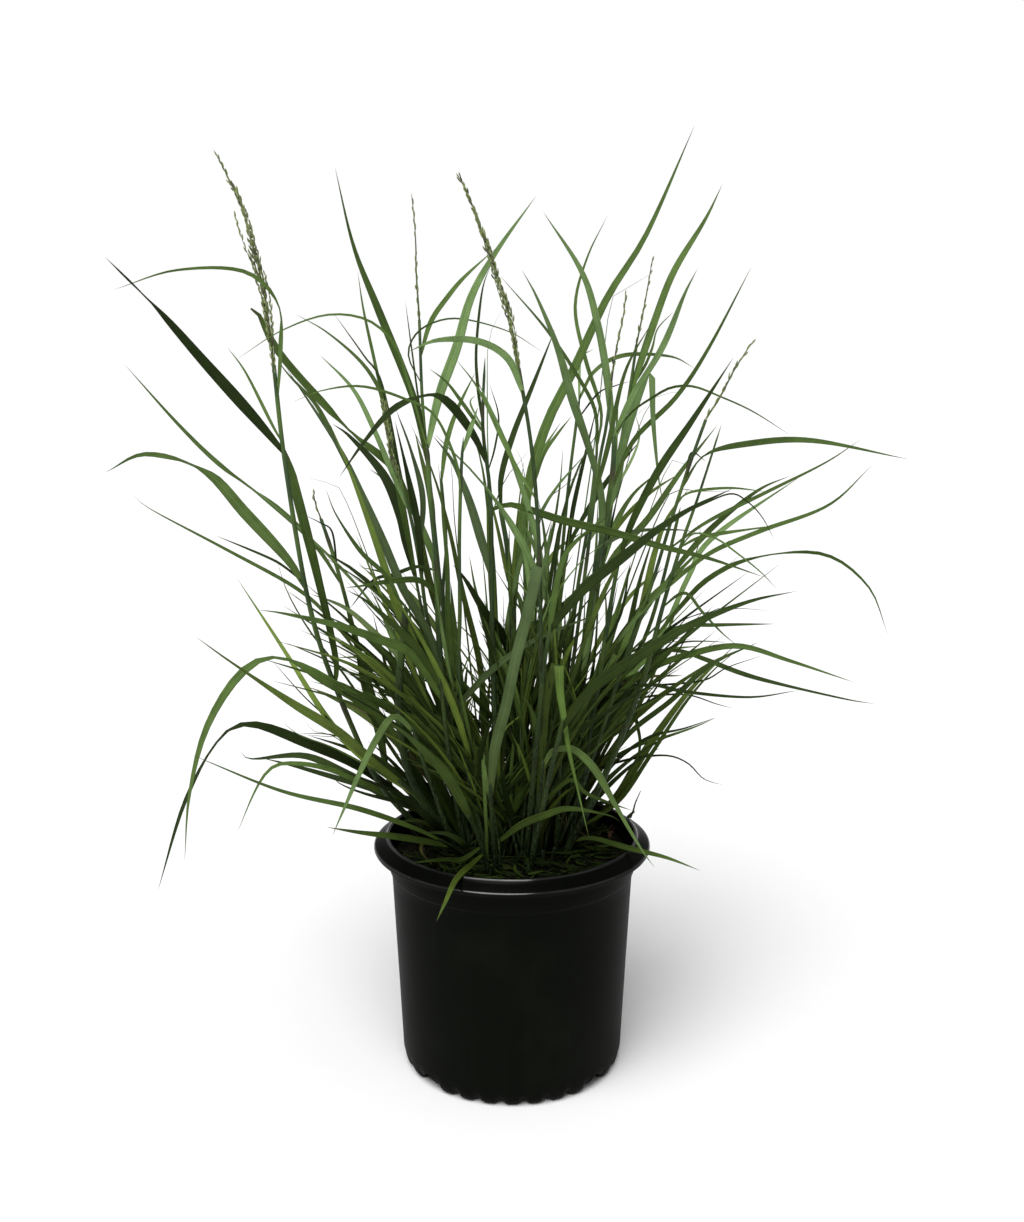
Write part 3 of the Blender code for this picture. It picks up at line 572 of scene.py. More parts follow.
shoot("left_head", 4.6, 0, -50, [(-52, 189), (-85, 215), (-115, 250), (-141, 310), (-162, 370),
          (-175, 430), (-188, 531), (-194, 606)],
      ("mid", 3.5, 580, -60, (-188, 620), (-189, 655), (-215, 680), (-270, 681), (-320, 666)),
      ("dark", 9.5, 535, -90, (-210, 562), (-250, 608), (-286, 650), (-326, 691)),
      ("mid", 2.4, 545, 40, (-198, 560), (-217, 600), (-231, 620)),
      ("deep", 8, 340, 20, (-150, 362), (-165, 440), (-183, 519), (-188, 538)),
      ("mid", 9.5, 420, 60, (-188, 446), (-222, 485), (-254, 520), (-302, 534), (-336, 519)),
      ("dark", 2, 425, 40, (-191, 440), (-207, 449), (-247, 466)))
shoot("thin_head", 4.5, 20, 70, [(-50, 193), (-78, 208), (-99, 230), (-108, 260), (-114, 310), (-130, 370),
          (-147, 440), (-159, 480)],
      ("mid", 9.5, 262, 10, (-117, 308), (-125, 340), (-131, 370), (-138, 402), (-144, 430)),
      ("mid", 3, 360, 70, (-154, 396), (-182, 422), (-240, 455), (-300, 488), (-314, 500)),
      ("mid", 4.5, 425, 90, (-165, 459), (-196, 490), (-240, 524), (-273, 557), (-315, 606)),
      ("dark", 1.5, 440, -20, (-150, 469), (-160, 477), (-172, 483)),
      ("dark", 1.5, 330, 30, (-140, 350), (-163, 362), (-190, 374)))
shoot("left_thick", 8.5, -12, -40, [(-42, 187), (-60, 205), (-85, 250), (-95, 290), (-96, 340), (-91, 390),
          (-90, 408)],
      ("pale", 5, 345, 50, (-98, 364), (-117, 384), (-141, 405), (-170, 417)),
      ("mid", 4, 398, -40, (-104, 430), (-126, 452), (-146, 483), (-154, 504)),
      ("mid", 9, 270, -110, (-112, 309), (-159, 342), (-198, 362), (-230, 349), (-262, 301), (-280, 240),
        (-287, 180)))
shoot("left_grey", 6, -15, -10, [(-33, 183), (-45, 230), (-55, 290), (-62, 380), (-63, 440), (-68, 500),
          (-70, 545)],
      ("light", 8, 538, -40, (-60, 580), (-45, 620), (-33, 660), (-13, 695), (19, 738)),
      ("shade", 7, 525, 30, (-78, 570), (-88, 600), (-108, 650), (-127, 700), (-140, 759)),
      ("dark", 3, 436, 60, (-80, 440), (-100, 433), (-117, 428), (-137, 404)),
      ("mid", 5, 415, -60, (-77, 428), (-99, 428), (-124, 424), (-140, 422)),
      ("mid", 2, 540, -80, (-84, 590), (-95, 622), (-117, 642), (-150, 646), (-188, 633), (-222, 612)),
      ("dark", 1.5, 540, 20, (-76, 575), (-81, 615), (-86, 656)),
      ("olive", 5, 465, 30, (-68, 500), (-77, 540), (-80, 552)))
shoot("left_short", 4.5, -22, -45, [(-40, 183), (-48, 230), (-56, 290), (-60, 330), (-62, 345)],
      ("deep", 7, 335, -50, (-78, 366), (-96, 386), (-122, 410), (-139, 420)),
      ("mid", 8, 325, -90, (-86, 365), (-114, 378), (-149, 390), (-193, 400), (-214, 403)))
shoot("left_tall_stalk", 3.5, 25, 45, [(-28, 197), (-50, 300), (-58, 400), (-66, 490), (-73, 570),
          (-75, 642)],
      ("mid", 4, 612, 50, (-66, 640), (-52, 660), (-38, 676), (-13, 698)),
      ("olive", 5, 300, 60, (-72, 345), (-96, 388), (-118, 420)),
      ("mid", 1.2, 590, -60, (-84, 612), (-80, 628), (-66, 639), (-42, 643), (-3, 633), (24, 617)))
shoot("left_bright", 5, 8, -20, [(-30, 192), (-44, 260), (-57, 318), (-64, 342)],
      ("bright", 7, 330, -30, (-76, 360), (-95, 400), (-107, 440), (-120, 480), (-134, 520), (-150, 560)),
      ("grey", 7.5, 310, 50, (-66, 372), (-91, 420), (-107, 460), (-124, 500), (-143, 540), (-184, 604)))
shoot("left_dark", 4, 32, 60, [(-36, 200), (-58, 300), (-72, 380), (-80, 425), (-83, 440)],
      ("dark", 9, 432, 60, (-88, 460), (-93, 485), (-107, 518), (-133, 548), (-148, 559)),
      ("deep", 6.3, 428, -30, (-92, 495), (-99, 523), (-129, 549), (-157, 578), (-190, 617), (-204, 645),
        (-208, 652), (-211, 651)))
shoot("dark_head", 4, 5, 20, [(-24, 191), (-48, 300), (-66, 370), (-73, 405), (-77, 440), (-84, 480),
          (-92, 513)],
      ("mid", 4, 500, 40, (-98, 530), (-104, 570), (-112, 610), (-120, 650), (-124, 680)),
      ("light", 5, 488, 70, (-98, 516), (-113, 553), (-130, 587), (-156, 614)),
      ("dark", 6.5, 430, -30, (-78, 470), (-85, 510), (-96, 561)),
      ("mid", 3.5, 498, 60, (-104, 570), (-110, 590), (-125, 611), (-151, 633), (-174, 646)),
      ("dark", 2, 505, 30, (-106, 590), (-120, 613), (-144, 647)),
      ("grey", 5, 450, 30, (-74, 496), (-83, 536), (-95, 570)))
shoot("mid_left", 4, 40, 75, [(-18, 204), (-40, 300), (-55, 370), (-58, 420), (-55, 460), (-59, 520)],
      ("mid", 4, 512, 40, (-54, 543), (-45, 570), (-30, 600)),
      ("olive", 6, 380, -40, (-70, 430), (-80, 480), (-97, 530)))
shoot("arched", 4, -30, -50, [(-20, 178), (-38, 260), (-45, 350), (-44, 400), (-44, 460), (-42, 520),
          (-40, 548)],
      ("mid", 3, 500, -80, (-46, 527), (-63, 565), (-88, 579), (-122, 589), (-154, 586), (-178, 577)),
      ("light", 4.5, 535, 30, (-34, 555), (-28, 572)))
shoot("centre", 6, -28, -20, [(-7, 179), (-13, 260), (-16, 350), (-17, 420), (-18, 500), (-24, 555),
          (-22, 612)],
      ("dark", 3, 560, 40, (-28, 590), (-29, 620), (-24, 665), (-17, 685)),
      ("grey", 7.5, 430, 30, (-25, 460), (-37, 500), (-49, 528), (-65, 549)),
      ("dark", 7.5, 528, -70, (-32, 550), (-52, 576), (-70, 582), (-97, 571), (-121, 545), (-143, 515)),
      ("deep", 7, 488, -70, (0, 492), (42, 479), (84, 469), (125, 457), (165, 447), (212, 431)),
      ("dark", 1.3, 520, 20, (-14, 540), (-11, 565), (-18, 590)),
      ("mid", 3, 550, -40, (-43, 579), (-54, 593), (-67, 603)),
      ("light", 2, 555, 20, (-34, 575), (-30, 582)))
shoot("centre_back", 6.5, 12, 30, [(-4, 194), (-2, 300), (0, 400), (-4, 455), (-11, 495)],
      ("dark", 5, 485, 40, (-9, 515), (1, 550), (17, 590), (35, 635)),
      ("dark", 7.5, 360, -50, (-10, 385), (-22, 400), (-40, 430), (-50, 442)))
shoot("centre_head", 4, -38, -60, [(17, 175), (21, 220), (24, 280), (24, 400), (22, 470), (16, 540),
          (6, 601)],
      ("light", 7, 584, -60, (-3, 611), (-27, 625), (-60, 626), (-84, 617)),
      ("mid", 3, 510, 40, (27, 535), (37, 550), (49, 565)),
      ("mid", 3.5, 495, 40, (7, 517), (-7, 544), (-27, 586), (-45, 610)))
shoot("tallest", 6, -8, 10, [(3, 189), (1, 260), (1, 340), (2, 415)],
      ("mid", 8, 400, 70, (5, 450), (14, 510), (29, 560), (50, 602), (77, 660), (108, 710), (144, 792)))
shoot("cut_leaf", 4, -58, -85, [(-14, 166), (-17, 210), (-19, 250)],
      ("grey", 10, 240, -25, (-15, 280), (-5, 320), (3, 360), (13, 400), (22, 440)))
shoot("folded_leaf", 4, -20, -50, [(38, 182), (41, 250), (42, 310), (40, 356)],
      ("fresh", 8, 355, -70, (41, 333), (44, 312), (49, 280), (58, 240), (67, 201)))
shoot("front_arch", 4, -48, -75, [(18, 171), (23, 220), (27, 272)],
      ("light", 7, 264, -40, (34, 278), (42, 281), (54, 280), (72, 262), (90, 230), (113, 190), (125, 173)),
      ("mid", 4, 230, -30, (50, 253), (63, 242), (80, 234), (105, 225)))
shoot("front_low", 3.5, -62, -80, [(-10, 164), (-12, 195), (-17, 225), (-20, 242)],
      ("light", 4, 236, -15, (-24, 262), (-24, 278)),
      ("mid", 6.5, 196, -25, (8, 212), (29, 221), (50, 227), (84, 221), (94, 215)))
shoot("front_left", 4.5, -30, -50, [(-19, 178), (-29, 200), (-38, 222)],
      ("mid", 9, 214, -40, (-47, 240), (-59, 260), (-73, 276), (-89, 292), (-105, 305)),
      ("bright", 5, 186, -82, (-35, 176), (-49, 162), (-59, 140), (-67, 122)),
      ("deep", 4, 192, -20, (-44, 180), (-60, 180), (-88, 177)))
shoot("right_thick", 6.5, 12, 20, [(32, 194), (50, 290), (60, 360), (68, 420), (76, 470), (83, 516),
          (84, 552)],
      ("light", 9, 460, -60, (74, 500), (63, 540), (49, 580), (37, 620), (20, 660), (8, 681)),
      ("light", 7, 540, 30, (82, 560), (77, 600), (69, 640), (56, 680), (25, 726)),
      ("light", 7.5, 545, -50, (98, 580), (122, 620), (139, 662), (149, 682)),
      ("deep", 4, 500, 60, (100, 545), (134, 580), (160, 620), (192, 683)),
      ("deep", 1.8, 548, -90, (98, 568), (115, 580), (130, 588), (148, 589), (170, 581), (197, 569),
        (228, 550)))
shoot("right_folded", 4, 28, 60, [(28, 199), (45, 330), (55, 420), (64, 480), (71, 545)],
      ("mid", 3, 532, -30, (69, 565), (58, 590), (29, 633), (-9, 676)),
      ("mid", 3, 541, 50, (73, 570), (60, 610), (51, 652), (60, 690), (76, 723)),
      ("light", 7, 455, -20, (84, 500), (91, 540), (103, 580), (113, 602), (116, 560), (122, 510),
        (127, 490)))
shoot("right_stalk", 3.5, 34, 80, [(35, 202), (60, 330), (75, 440), (86, 520), (96, 584), (101, 622)],
      ("mid", 7, 578, 40, (102, 600), (115, 640), (130, 680), (154, 720), (167, 747)),
      ("mid", 2, 585, 50, (108, 605), (114, 620), (118, 635), (130, 648)),
      ("pale", 2, 500, 30, (99, 530), (105, 550), (101, 567)))
shoot("right_slender", 3.5, -4, -30, [(25, 189), (48, 330), (62, 440), (71, 520), (78, 560), (81, 592)],
      ("mid", 4, 500, -40, (79, 540), (92, 600), (113, 640)),
      ("olive", 5, 330, -50, (66, 390), (88, 440), (110, 470)))
shoot("right_inner", 4, 44, 90, [(15, 206), (30, 330), (40, 430), (47, 510), (56, 585)],
      ("mid", 3.5, 580, 40, (67, 601), (91, 614), (129, 613), (148, 604)),
      ("dark", 4, 420, 50, (46, 450), (51, 490), (62, 540), (70, 575)),
      ("dark", 1.3, 560, -40, (70, 583), (83, 589), (96, 593)),
      ("light", 2, 575, 30, (56, 610), (66, 619)))
shoot("right_wide", 5, -12, -35, [(48, 185), (68, 300), (82, 400), (91, 455)],
      ("shade", 7.5, 446, -40, (101, 480), (122, 522), (147, 560), (180, 612)),
      ("mid", 6.5, 340, 40, (96, 376), (114, 410), (125, 425)),
      ("dark", 2.5, 370, -30, (92, 400), (99, 440)))
shoot("right_rising", 4.5, 22, 30, [(38, 197), (50, 300), (62, 380), (71, 428)],
      ("mid", 6, 420, 60, (87, 451), (113, 480), (140, 520), (169, 558)),
      ("grey", 4, 412, -30, (73, 452), (99, 469), (139, 471), (156, 468)))
shoot("dark_cross", 5, -32, -70, [(12, 177), (22, 300), (28, 360), (33, 392)],
      ("dark", 9.5, 384, -60, (59, 420), (94, 449), (121, 471), (149, 489), (184, 506)),
      ("mid", 5.5, 380, 40, (40, 437), (52, 460), (81, 483)))
shoot("right_leaning", 6.5, 0, -50, [(45, 192), (75, 245), (97, 300), (114, 350), (127, 405), (142, 460),
          (155, 500), (172, 558)],
      ("mid", 5, 196, -45, (70, 200), (101, 191), (135, 182), (165, 170)),
      ("deep", 4, 208, -60, (92, 233), (118, 273), (147, 320), (170, 349), (191, 368)),
      ("mid", 6, 276, 60, (105, 299), (136, 324), (168, 355), (209, 375)),
      ("light", 5, 370, 70, (134, 398), (149, 433), (168, 465), (238, 515)),
      ("deep", 4.5, 378, -90, (139, 402), (164, 429), (201, 447), (259, 451), (299, 424), (318, 383)),
      ("mid", 4, 425, -100, (165, 451), (207, 470), (262, 491), (297, 524)),
      ("mid", 3, 455, 60, (155, 464), (174, 468), (223, 475)),
      ("mid", 1.5, 455, -60, (152, 468), (170, 464), (189, 451), (208, 436), (223, 421)),
      ("mid", 2.5, 405, -50, (140, 416), (149, 416), (160, 402), (177, 384), (190, 373)),
      ("dark", 1.5, 372, 40, (130, 384), (142, 393), (160, 400), (172, 401)),
      ("dark", 1.2, 360, -30, (142, 374), (162, 376), (182, 375)),
      ("dark", 1, 490, -50, (180, 501), (195, 495), (208, 482), (219, 463)))
shoot("right_low", 4.5, 15, 60, [(38, 195), (60, 250), (78, 300), (96, 348), (113, 380), (126, 425),
          (140, 490)],
      ("mid", 5.5, 340, -40, (116, 351), (142, 362), (190, 372), (236, 359), (292, 340)),
      ("deep", 5, 418, 60, (144, 447), (169, 475), (204, 504), (230, 516)),
      ("mid", 3, 455, 90, (163, 478), (210, 502), (259, 527), (287, 546)),
      ("bright", 6, 280, -20, (106, 310), (127, 328), (173, 361)),
      ("deep", 4, 366, 70, (140, 368), (165, 360), (208, 344), (282, 326), (311, 321)),
      ("mid", 3, 262, 60, (108, 284), (133, 292), (158, 301), (175, 309)),
      ("dark", 1.8, 258, -50, (85, 267), (108, 273), (134, 275), (152, 268), (166, 254), (184, 248)),
      ("deep", 3, 312, -40, (101, 318), (109, 296), (110, 281), (106, 266), (100, 256)),
      ("dark", 1.5, 335, -30, (130, 338), (164, 342), (183, 353), (211, 363)),
      ("dark", 1.5, 322, 30, (120, 328), (150, 329), (175, 321), (190, 317)),
      ("straw", 3, 338, 20, (116, 345), (146, 346)))
shoot("far_right_head", 3.5, -20, -70, [(36, 183), (55, 230), (78, 300), (99, 370), (116, 420), (133, 480),
          (145, 520), (159, 562)],
      ("mid", 5.5, 506, -90, (159, 533), (198, 543), (248, 545), (326, 530)),
      ("dark", 3, 330, -80, (118, 338), (147, 332), (202, 327), (245, 333)),
      ("mid", 2, 495, -60, (150, 503), (180, 506), (210, 503)),
      ("dark", 1.5, 515, 20, (148, 535), (160, 528)))
shoot("right_bold", 5, -44, -75, [(14, 173), (32, 255), (44, 308)],
      ("shade", 9.5, 298, -70, (70, 336), (111, 365), (151, 390), (199, 410), (239, 419)))
shoot("right_yellow", 4, 36, 75, [(46, 203), (75, 290), (95, 345), (104, 382)],
      ("bright", 6, 374, 60, (111, 410), (119, 450), (129, 480), (147, 506)),
      ("deep", 3.5, 366, 110, (141, 388), (173, 390), (223, 391)))
shoot("low_bright", 5, -16, -60, [(-36, 186), (-62, 215), (-85, 240), (-99, 253)],
      ("bright", 8.5, 247, -90, (-121, 270), (-149, 296), (-190, 323), (-238, 357), (-267, 379)),
      ("bright", 5.5, 238, 30, (-129, 273), (-159, 309), (-194, 369), (-231, 430)),
      ("dark", 1.5, 245, 30, (-130, 280), (-160, 310), (-180, 330), (-204, 359)),
      ("mid", 1.5, 246, -30, (-150, 280), (-182, 293), (-197, 305)))
shoot("low_droop", 5, 4, 25, [(-42, 191), (-65, 213), (-80, 226), (-93, 236)],
      ("dark", 9, 230, -130, (-133, 266), (-176, 286), (-223, 303), (-252, 290), (-284, 234), (-312, 151)),
      ("dark", 7.5, 222, 70, (-104, 236), (-144, 259), (-180, 275), (-225, 272), (-234, 279)),
      ("mid", 5, 218, -60, (-120, 246), (-162, 264), (-197, 268), (-212, 260), (-224, 241), (-239, 207)))
shoot("low_flat", 4, -28, -55, [(-36, 182), (-50, 190), (-64, 199)],
      ("mid", 4.5, 196, -70, (-85, 209), (-134, 227), (-200, 243), (-275, 275)),
      ("mid", 6, 192, -35, (-92, 200), (-132, 205), (-162, 210)))
shoot("low_olive", 4.5, 20, 45, [(-44, 195), (-62, 225), (-74, 250)],
      ("olive", 6, 243, 80, (-101, 288), (-132, 314), (-169, 334)),
      ("dark", 5.5, 232, 110, (-107, 240), (-143, 252), (-189, 266), (-217, 273)))
shoot("low_bent", 4, -34, -65, [(-46, 180), (-72, 255), (-86, 302)],
      ("light", 6, 296, -50, (-101, 310), (-117, 289), (-132, 259), (-146, 227), (-157, 202)))
shoot("back_left", 4, 58, 150, [(-20, 211), (-36, 300), (-52, 380), (-60, 430)],
      ("mid", 6, 420, 60, (-70, 460), (-90, 500), (-118, 522)),
      ("olive", 5, 340, 90, (-66, 390), (-100, 430), (-128, 440)))
shoot("back_centre", 4.5, 64, 130, [(6, 213), (10, 300), (12, 380), (10, 450)],
      ("mid", 6, 440, 60, (12, 490), (22, 530), (40, 560)),
      ("olive", 6, 360, 100, (20, 410), (34, 450), (60, 470)),
      ("deep", 5, 300, 70, (-8, 360), (-28, 410), (-36, 450)))
shoot("back_right", 4, 56, 160, [(30, 210), (48, 300), (62, 380), (70, 430)],
      ("mid", 6, 420, 70, (84, 470), (100, 500), (122, 520)),
      ("olive", 5, 330, 100, (76, 380), (104, 420), (130, 440)))
shoot("back_low_left", 4, 50, 90, [(-34, 208), (-58, 260), (-70, 300)],
      ("olive", 5, 290, 120, (-92, 340), (-120, 360), (-150, 362)),
      ("mid", 4, 270, 80, (-74, 330), (-84, 380), (-88, 420)))
shoot("back_low_right", 4, 52, 100, [(40, 209), (62, 262), (76, 304)],
      ("mid", 5, 292, 120, (96, 340), (124, 366), (160, 372)),
      ("olive", 4, 270, 90, (74, 330), (80, 380), (78, 430)))

# Leaves that turn their edge to the viewer at a share of their length
edgeOnLeaves = {
    ("shoot_left_thick", 270): 0.44, ("shoot_left_head", 580): 0.34, ("shoot_left_head", 420): 0.62,
    ("shoot_left_head", 535): 0.80, ("shoot_right_leaning", 378): 0.50, ("shoot_thin_head", 425): 0.42,
    ("shoot_low_droop", 230): 0.62, ("shoot_centre", 528): 0.45, ("shoot_left_dark", 428): 0.54,
    ("shoot_far_right_head", 506): 0.14}
leafShapes = {("shoot_cut_leaf", 240): "cut", ("shoot_folded_leaf", 355): "folded",
              ("shoot_left_dark", 428): "blunt", ("shoot_left_head", 340): "blunt"}
stemTops = {"shoot_right_leaning": 0.2, "shoot_centre": 0.35}
stemTints = {"shoot_centre_head": "dark", "shoot_centre": "dark"}

# Seed heads: the shoot that carries each, its width, and its line
seedHeads = {
    "seed_head_left": ("shoot_left_head", 8.5, [
        (-194, 612), (-197, 640), (-203, 680), (-215, 730), (-224, 750), (-236, 774)]),
    "seed_head_thin": ("shoot_thin_head", 3, [(-160, 484), (-163, 492), (-165, 505)]),
    "seed_head_tall": ("shoot_left_tall_stalk", 3.5, [
        (-75, 648), (-77, 680), (-77, 700), (-78, 720), (-80, 741)]),
    "seed_head_dark": ("shoot_dark_head", 5.5, [
        (-93, 518), (-99, 531), (-101, 546), (-103, 561), (-106, 578)]),
    "seed_head_centre": ("shoot_centre_head", 6.6, [
        (4, 608), (-1, 640), (-7, 660), (-20, 700), (-35, 739), (-43, 754)]),
    "seed_head_right": ("shoot_right_stalk", 3, [(102, 627), (106, 648), (110, 672), (113, 692)]),
    "seed_head_slender": ("shoot_right_slender", 2.6, [(82, 598), (85, 620), (90, 645), (92, 666)]),
    "seed_head_far_right": ("shoot_far_right_head", 4.5, [
        (162, 568), (170, 580), (180, 600), (189, 615), (197, 627)])}
headCarriers = [head[0] for head in seedHeads.values()]


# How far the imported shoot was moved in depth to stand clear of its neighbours
def slideOf(name, entry):
    verts = [vert.co for vert in nodes[name].data.vertices]
    low = min(co.z for co in verts)
    foot = [co.y for co in verts if co.z < low + plantSetup["footBand"] * mm]
    return (min(foot) + max(foot)) / 2 / mm - entry["footDepth"]


# Joins leaves or stems into one piece; leaves get the thickness of a sheet
def finishGrass(pieces, name, stuff, replaced=()):
    made = joinPieces(pieces, name)
    if stuff is grassLeaf:
        applyModifier(made, "SOLIDIFY", {"thickness": plantSetup["sheet"] * mm, "offset": 0.0})
    # darkens the low and inner parts of the clump: painted shade
    paintClumpShade(made, "leaf" if stuff is grassLeaf else "stem")
    settle(made, stuff, replaced)


def growShoot(name, entry):
    path = stemPath(entry, slideOf(name, entry))
    chance = random.Random(name)
    rolls = [math.radians(sway(chance, plantSetup["roll"])) for blade in entry["blades"]]
    sheets = []
    for roll, (tint, width, collar, reach, *points) in zip(rolls, entry["blades"]):
        line = bladePath(collarPoint(path, collar), reach, points)
        sheets.append(layBlade(line, width, roll, tint, chance, leafShapes.get((name, collar), "pointed"),
                               edgeOnLeaves.get((name, collar))))
    finishGrass(sheets, name + "_blades", grassLeaf, (name,))
    joints = max(1, round((path[-1].z - path[0].z) / mm / stemSetup["jointEvery"]))
    topShare = plantSetup["headTop"] if name in headCarriers else stemTops.get(name, plantSetup["top"])
    stem = layStem(path, entry["stemWidth"], topShare, chance, joints, stemTints.get(name, "mid"))
    finishGrass([stem], name + "_stem", grassStem, (name,))
    return path


stemEnds = {name: growShoot(name, entry) for name, entry in shoots.items()}
print("grew", len(shoots), "shoots")


# Seed heads: a thin central stalk with short branches pressed to it, each with its spikelets
seedSetup = {
    "stalkTint": "olive", "green": (0.180, 0.225, 0.080), "pale": (0.270, 0.310, 0.150),
    "purple": (0.080, 0.078, 0.048), "purpleShare": 0.10, "paleFrom": 0.82, "tintSpread": 0.3, "fullFrom": 5,
    "fullSize": 1.1, "thinSize": 1.15, "stalk": 1.5, "twig": 0.55, "branchEvery": 9.0,
    "branchLength": (28, 62), "grainEvery": 2.9, "sparseEvery": 5.0, "loose": 0.42, "tight": 0.10,
    "swing": 0.11, "aside": 2.2, "missing": 0.14, "lastGrain": 0.985, "lastBranch": 0.80, "turn": 2.4,
    "turnSpread": 0.4, "thinSpread": 0.4, "topBranch": (0.45, 0.55, 0.0006), "onlyBranch": (0.05, 0.95, 0.0),
    "rows": 60, "stalkTop": 0.35, "twigTop": 0.6, "leastBranches": 3, "leastGrains": 5, "lowReach": 1.15,
    "reachFall": 0.5, "looseFrom": 0.12, "looseSpan": 1.6, "opening": (0.5, 1.0), "openedBy": 1.3,
    "outward": (-0.10, 0.24), "sideways": (0.2, 1.0),
    "stray": {"seed_head_left": (0.44, 0.28, 0.0068, 0.0)}}


def laySpikelet(spot, heading, sight, size, chance):
    grain = ownCopy(spikeletPattern)
    across = heading.cross(sight).normalized()
    over = heading.cross(across)
    tall = spikeletSetup["length"] * mm * chance.uniform(*spikeletSetup["lengths"]) * size
    wide = spikeletSetup["width"] * mm * chance.uniform(*spikeletSetup["widths"]) * size
    for vert in grain.data.vertices:
        flat = across * (vert.co.x * wide) + over * (vert.co.y * wide)
        vert.co = spot + flat + heading * (vert.co.z * tall)
    luck = chance.random()
    kind = "pale" if luck > seedSetup["paleFrom"] else "green"
    if luck < seedSetup["purpleShare"]:
        kind = "purple"
    paint(grain, seedSetup[kind], seedSetup["tintSpread"], chance)
    return grain


def growSeedHead(name, carrier, width, points):
    chance = random.Random(name)
    depths = [vert.co.y for vert in nodes[name].data.vertices]
    stem = stemEnds[carrier]
    start = stem[-1].y / mm
    further = sum(depths) / len(depths) / mm - start
    path = [stem[-2], stem[-1]]
    for i, (across, up) in enumerate(points[1:], 1):
        path.append(seen(across, up, start + further * min(1, 2 * i / len(points))))
    line = smoothPath(path, seedSetup["rows"])
    length = sum((b - a).length for a, b in zip(line, line[1:])) / mm
    full = width > seedSetup["fullFrom"]
    size = seedSetup["fullSize" if full else "thinSize"]
    pieces = [layStem(line, seedSetup["stalk"] * size, seedSetup["stalkTop"], chance,
                      tint=seedSetup["stalkTint"])]
    branches = max(seedSetup["leastBranches"], int(length / seedSetup["branchEvery"])) if full else 1
    stray = seedSetup["stray"].get(name)
    for number in range(branches + (2 if stray else 1)):
        begin = number / (branches + 1) * seedSetup["lastBranch"]
        reach = chance.uniform(*seedSetup["branchLength"]) / length
        reach *= seedSetup["lowReach"] - seedSetup["reachFall"] * begin
        turn = number * seedSetup["turn"] + sway(chance, seedSetup["turnSpread"])
        bulge = math.sin(min(1.0, begin * seedSetup["looseSpan"] + seedSetup["looseFrom"]) * math.pi)
        loose = seedSetup["loose"] * bulge + seedSetup["tight"]
        spread = seedSetup["thinSpread"] * mm
        if full:
            spread = width * mm * chance.uniform(*seedSetup["opening"]) * loose
        if number == branches:
            begin, reach, spread = seedSetup["topBranch" if full else "onlyBranch"]
        if number > branches:
            begin, reach, spread, turn = stray
        grains = int(reach * length / seedSetup["grainEvery" if full else "sparseEvery"])
        grains = max(seedSetup["leastGrains"], grains)
        branch = [line[int(begin * (len(line) - 1))]]
        for step in range(grains):
            share = begin + reach * (step + 1) / grains
            at = min(share, seedSetup["lastGrain"]) * (len(line) - 1)
            part = min(int(at), len(line) - 2)
            along, sight, side = frameAt(line, part)
            out = Matrix.Rotation(turn, 3, along) @ side
            opened = min(1.0, (step + 1) / grains * seedSetup["openedBy"])
            away = spread * math.sin(opened * math.pi / 2)
            spot = line[part].lerp(line[part + 1], at - part) + out * away
            branch.append(spot)
            swing = side * (seedSetup["swing"] if step % 2 else -seedSetup["swing"])
            heading = along + out * chance.uniform(*seedSetup["outward"])
            heading = heading + swing * chance.uniform(*seedSetup["sideways"])
            if share < seedSetup["lastGrain"] and chance.random() > seedSetup["missing"]:
                spot = spot + swing * seedSetup["aside"] * mm * size
                pieces.append(laySpikelet(spot, heading.normalized(), sight, size, chance))
        if spread:
            pieces.append(layStem(branch, seedSetup["twig"] * size, seedSetup["twigTop"], chance,
                                  tint=seedSetup["stalkTint"], light=True))
    settle(joinPieces(pieces, name + "_seeds"), seedStuff, (name,))


for name, entry in seedHeads.items():
    growSeedHead(name, *entry)
print("grew", len(seedHeads), "seed heads")


# Pot: one moulded shell, drawn ring by ring from the middle of its foot round the lip to the inside floor
potSetup = {
    "segments": 240, "scallops": 30, "scallopDepth": 2.6, "scallopRise": 2.4, "scallopTop": 11,
    "scallopFrom": 88, "valleyPower": 7,
    "profile": [
        (60, 0), (88.6, 0), (90.4, 0.4), (93, 1.7), (95.2, 4.4), (96.4, 8), (97.1, 12.5), (97.35, 18),
        (98.6, 45), (100.7, 90), (102.9, 135), (104.3, 165), (104.9, 174.6), (105.2, 175.5), (106.2, 176.4),
        (106.6, 177.4), (106.9, 186), (107.1, 195.8), (107.5, 196.9), (108.6, 197.2), (113, 196.4),
        (118.3, 195.5), (119.5, 195.8), (120, 196.8), (120, 198), (119.6, 198.9), (118.8, 199.5),
        (113.2, 203.3), (109.7, 205.3), (109.2, 206.1), (108.6, 206.7), (107.9, 207), (107.2, 207),
        (106.6, 206.6), (106.2, 205.6), (105.7, 198), (105.2, 178), (103.7, 174.4), (101.6, 130),
        (96.1, 17), (86, 2.2), (60, 2)],
    "drains": (-48, 48, 132, 228), "drainWidth": 19.0, "drainHeight": 12.0, "drainReach": 101, "drainCut": 30,
    "drainSides": 32, "smoothBelow": 40}


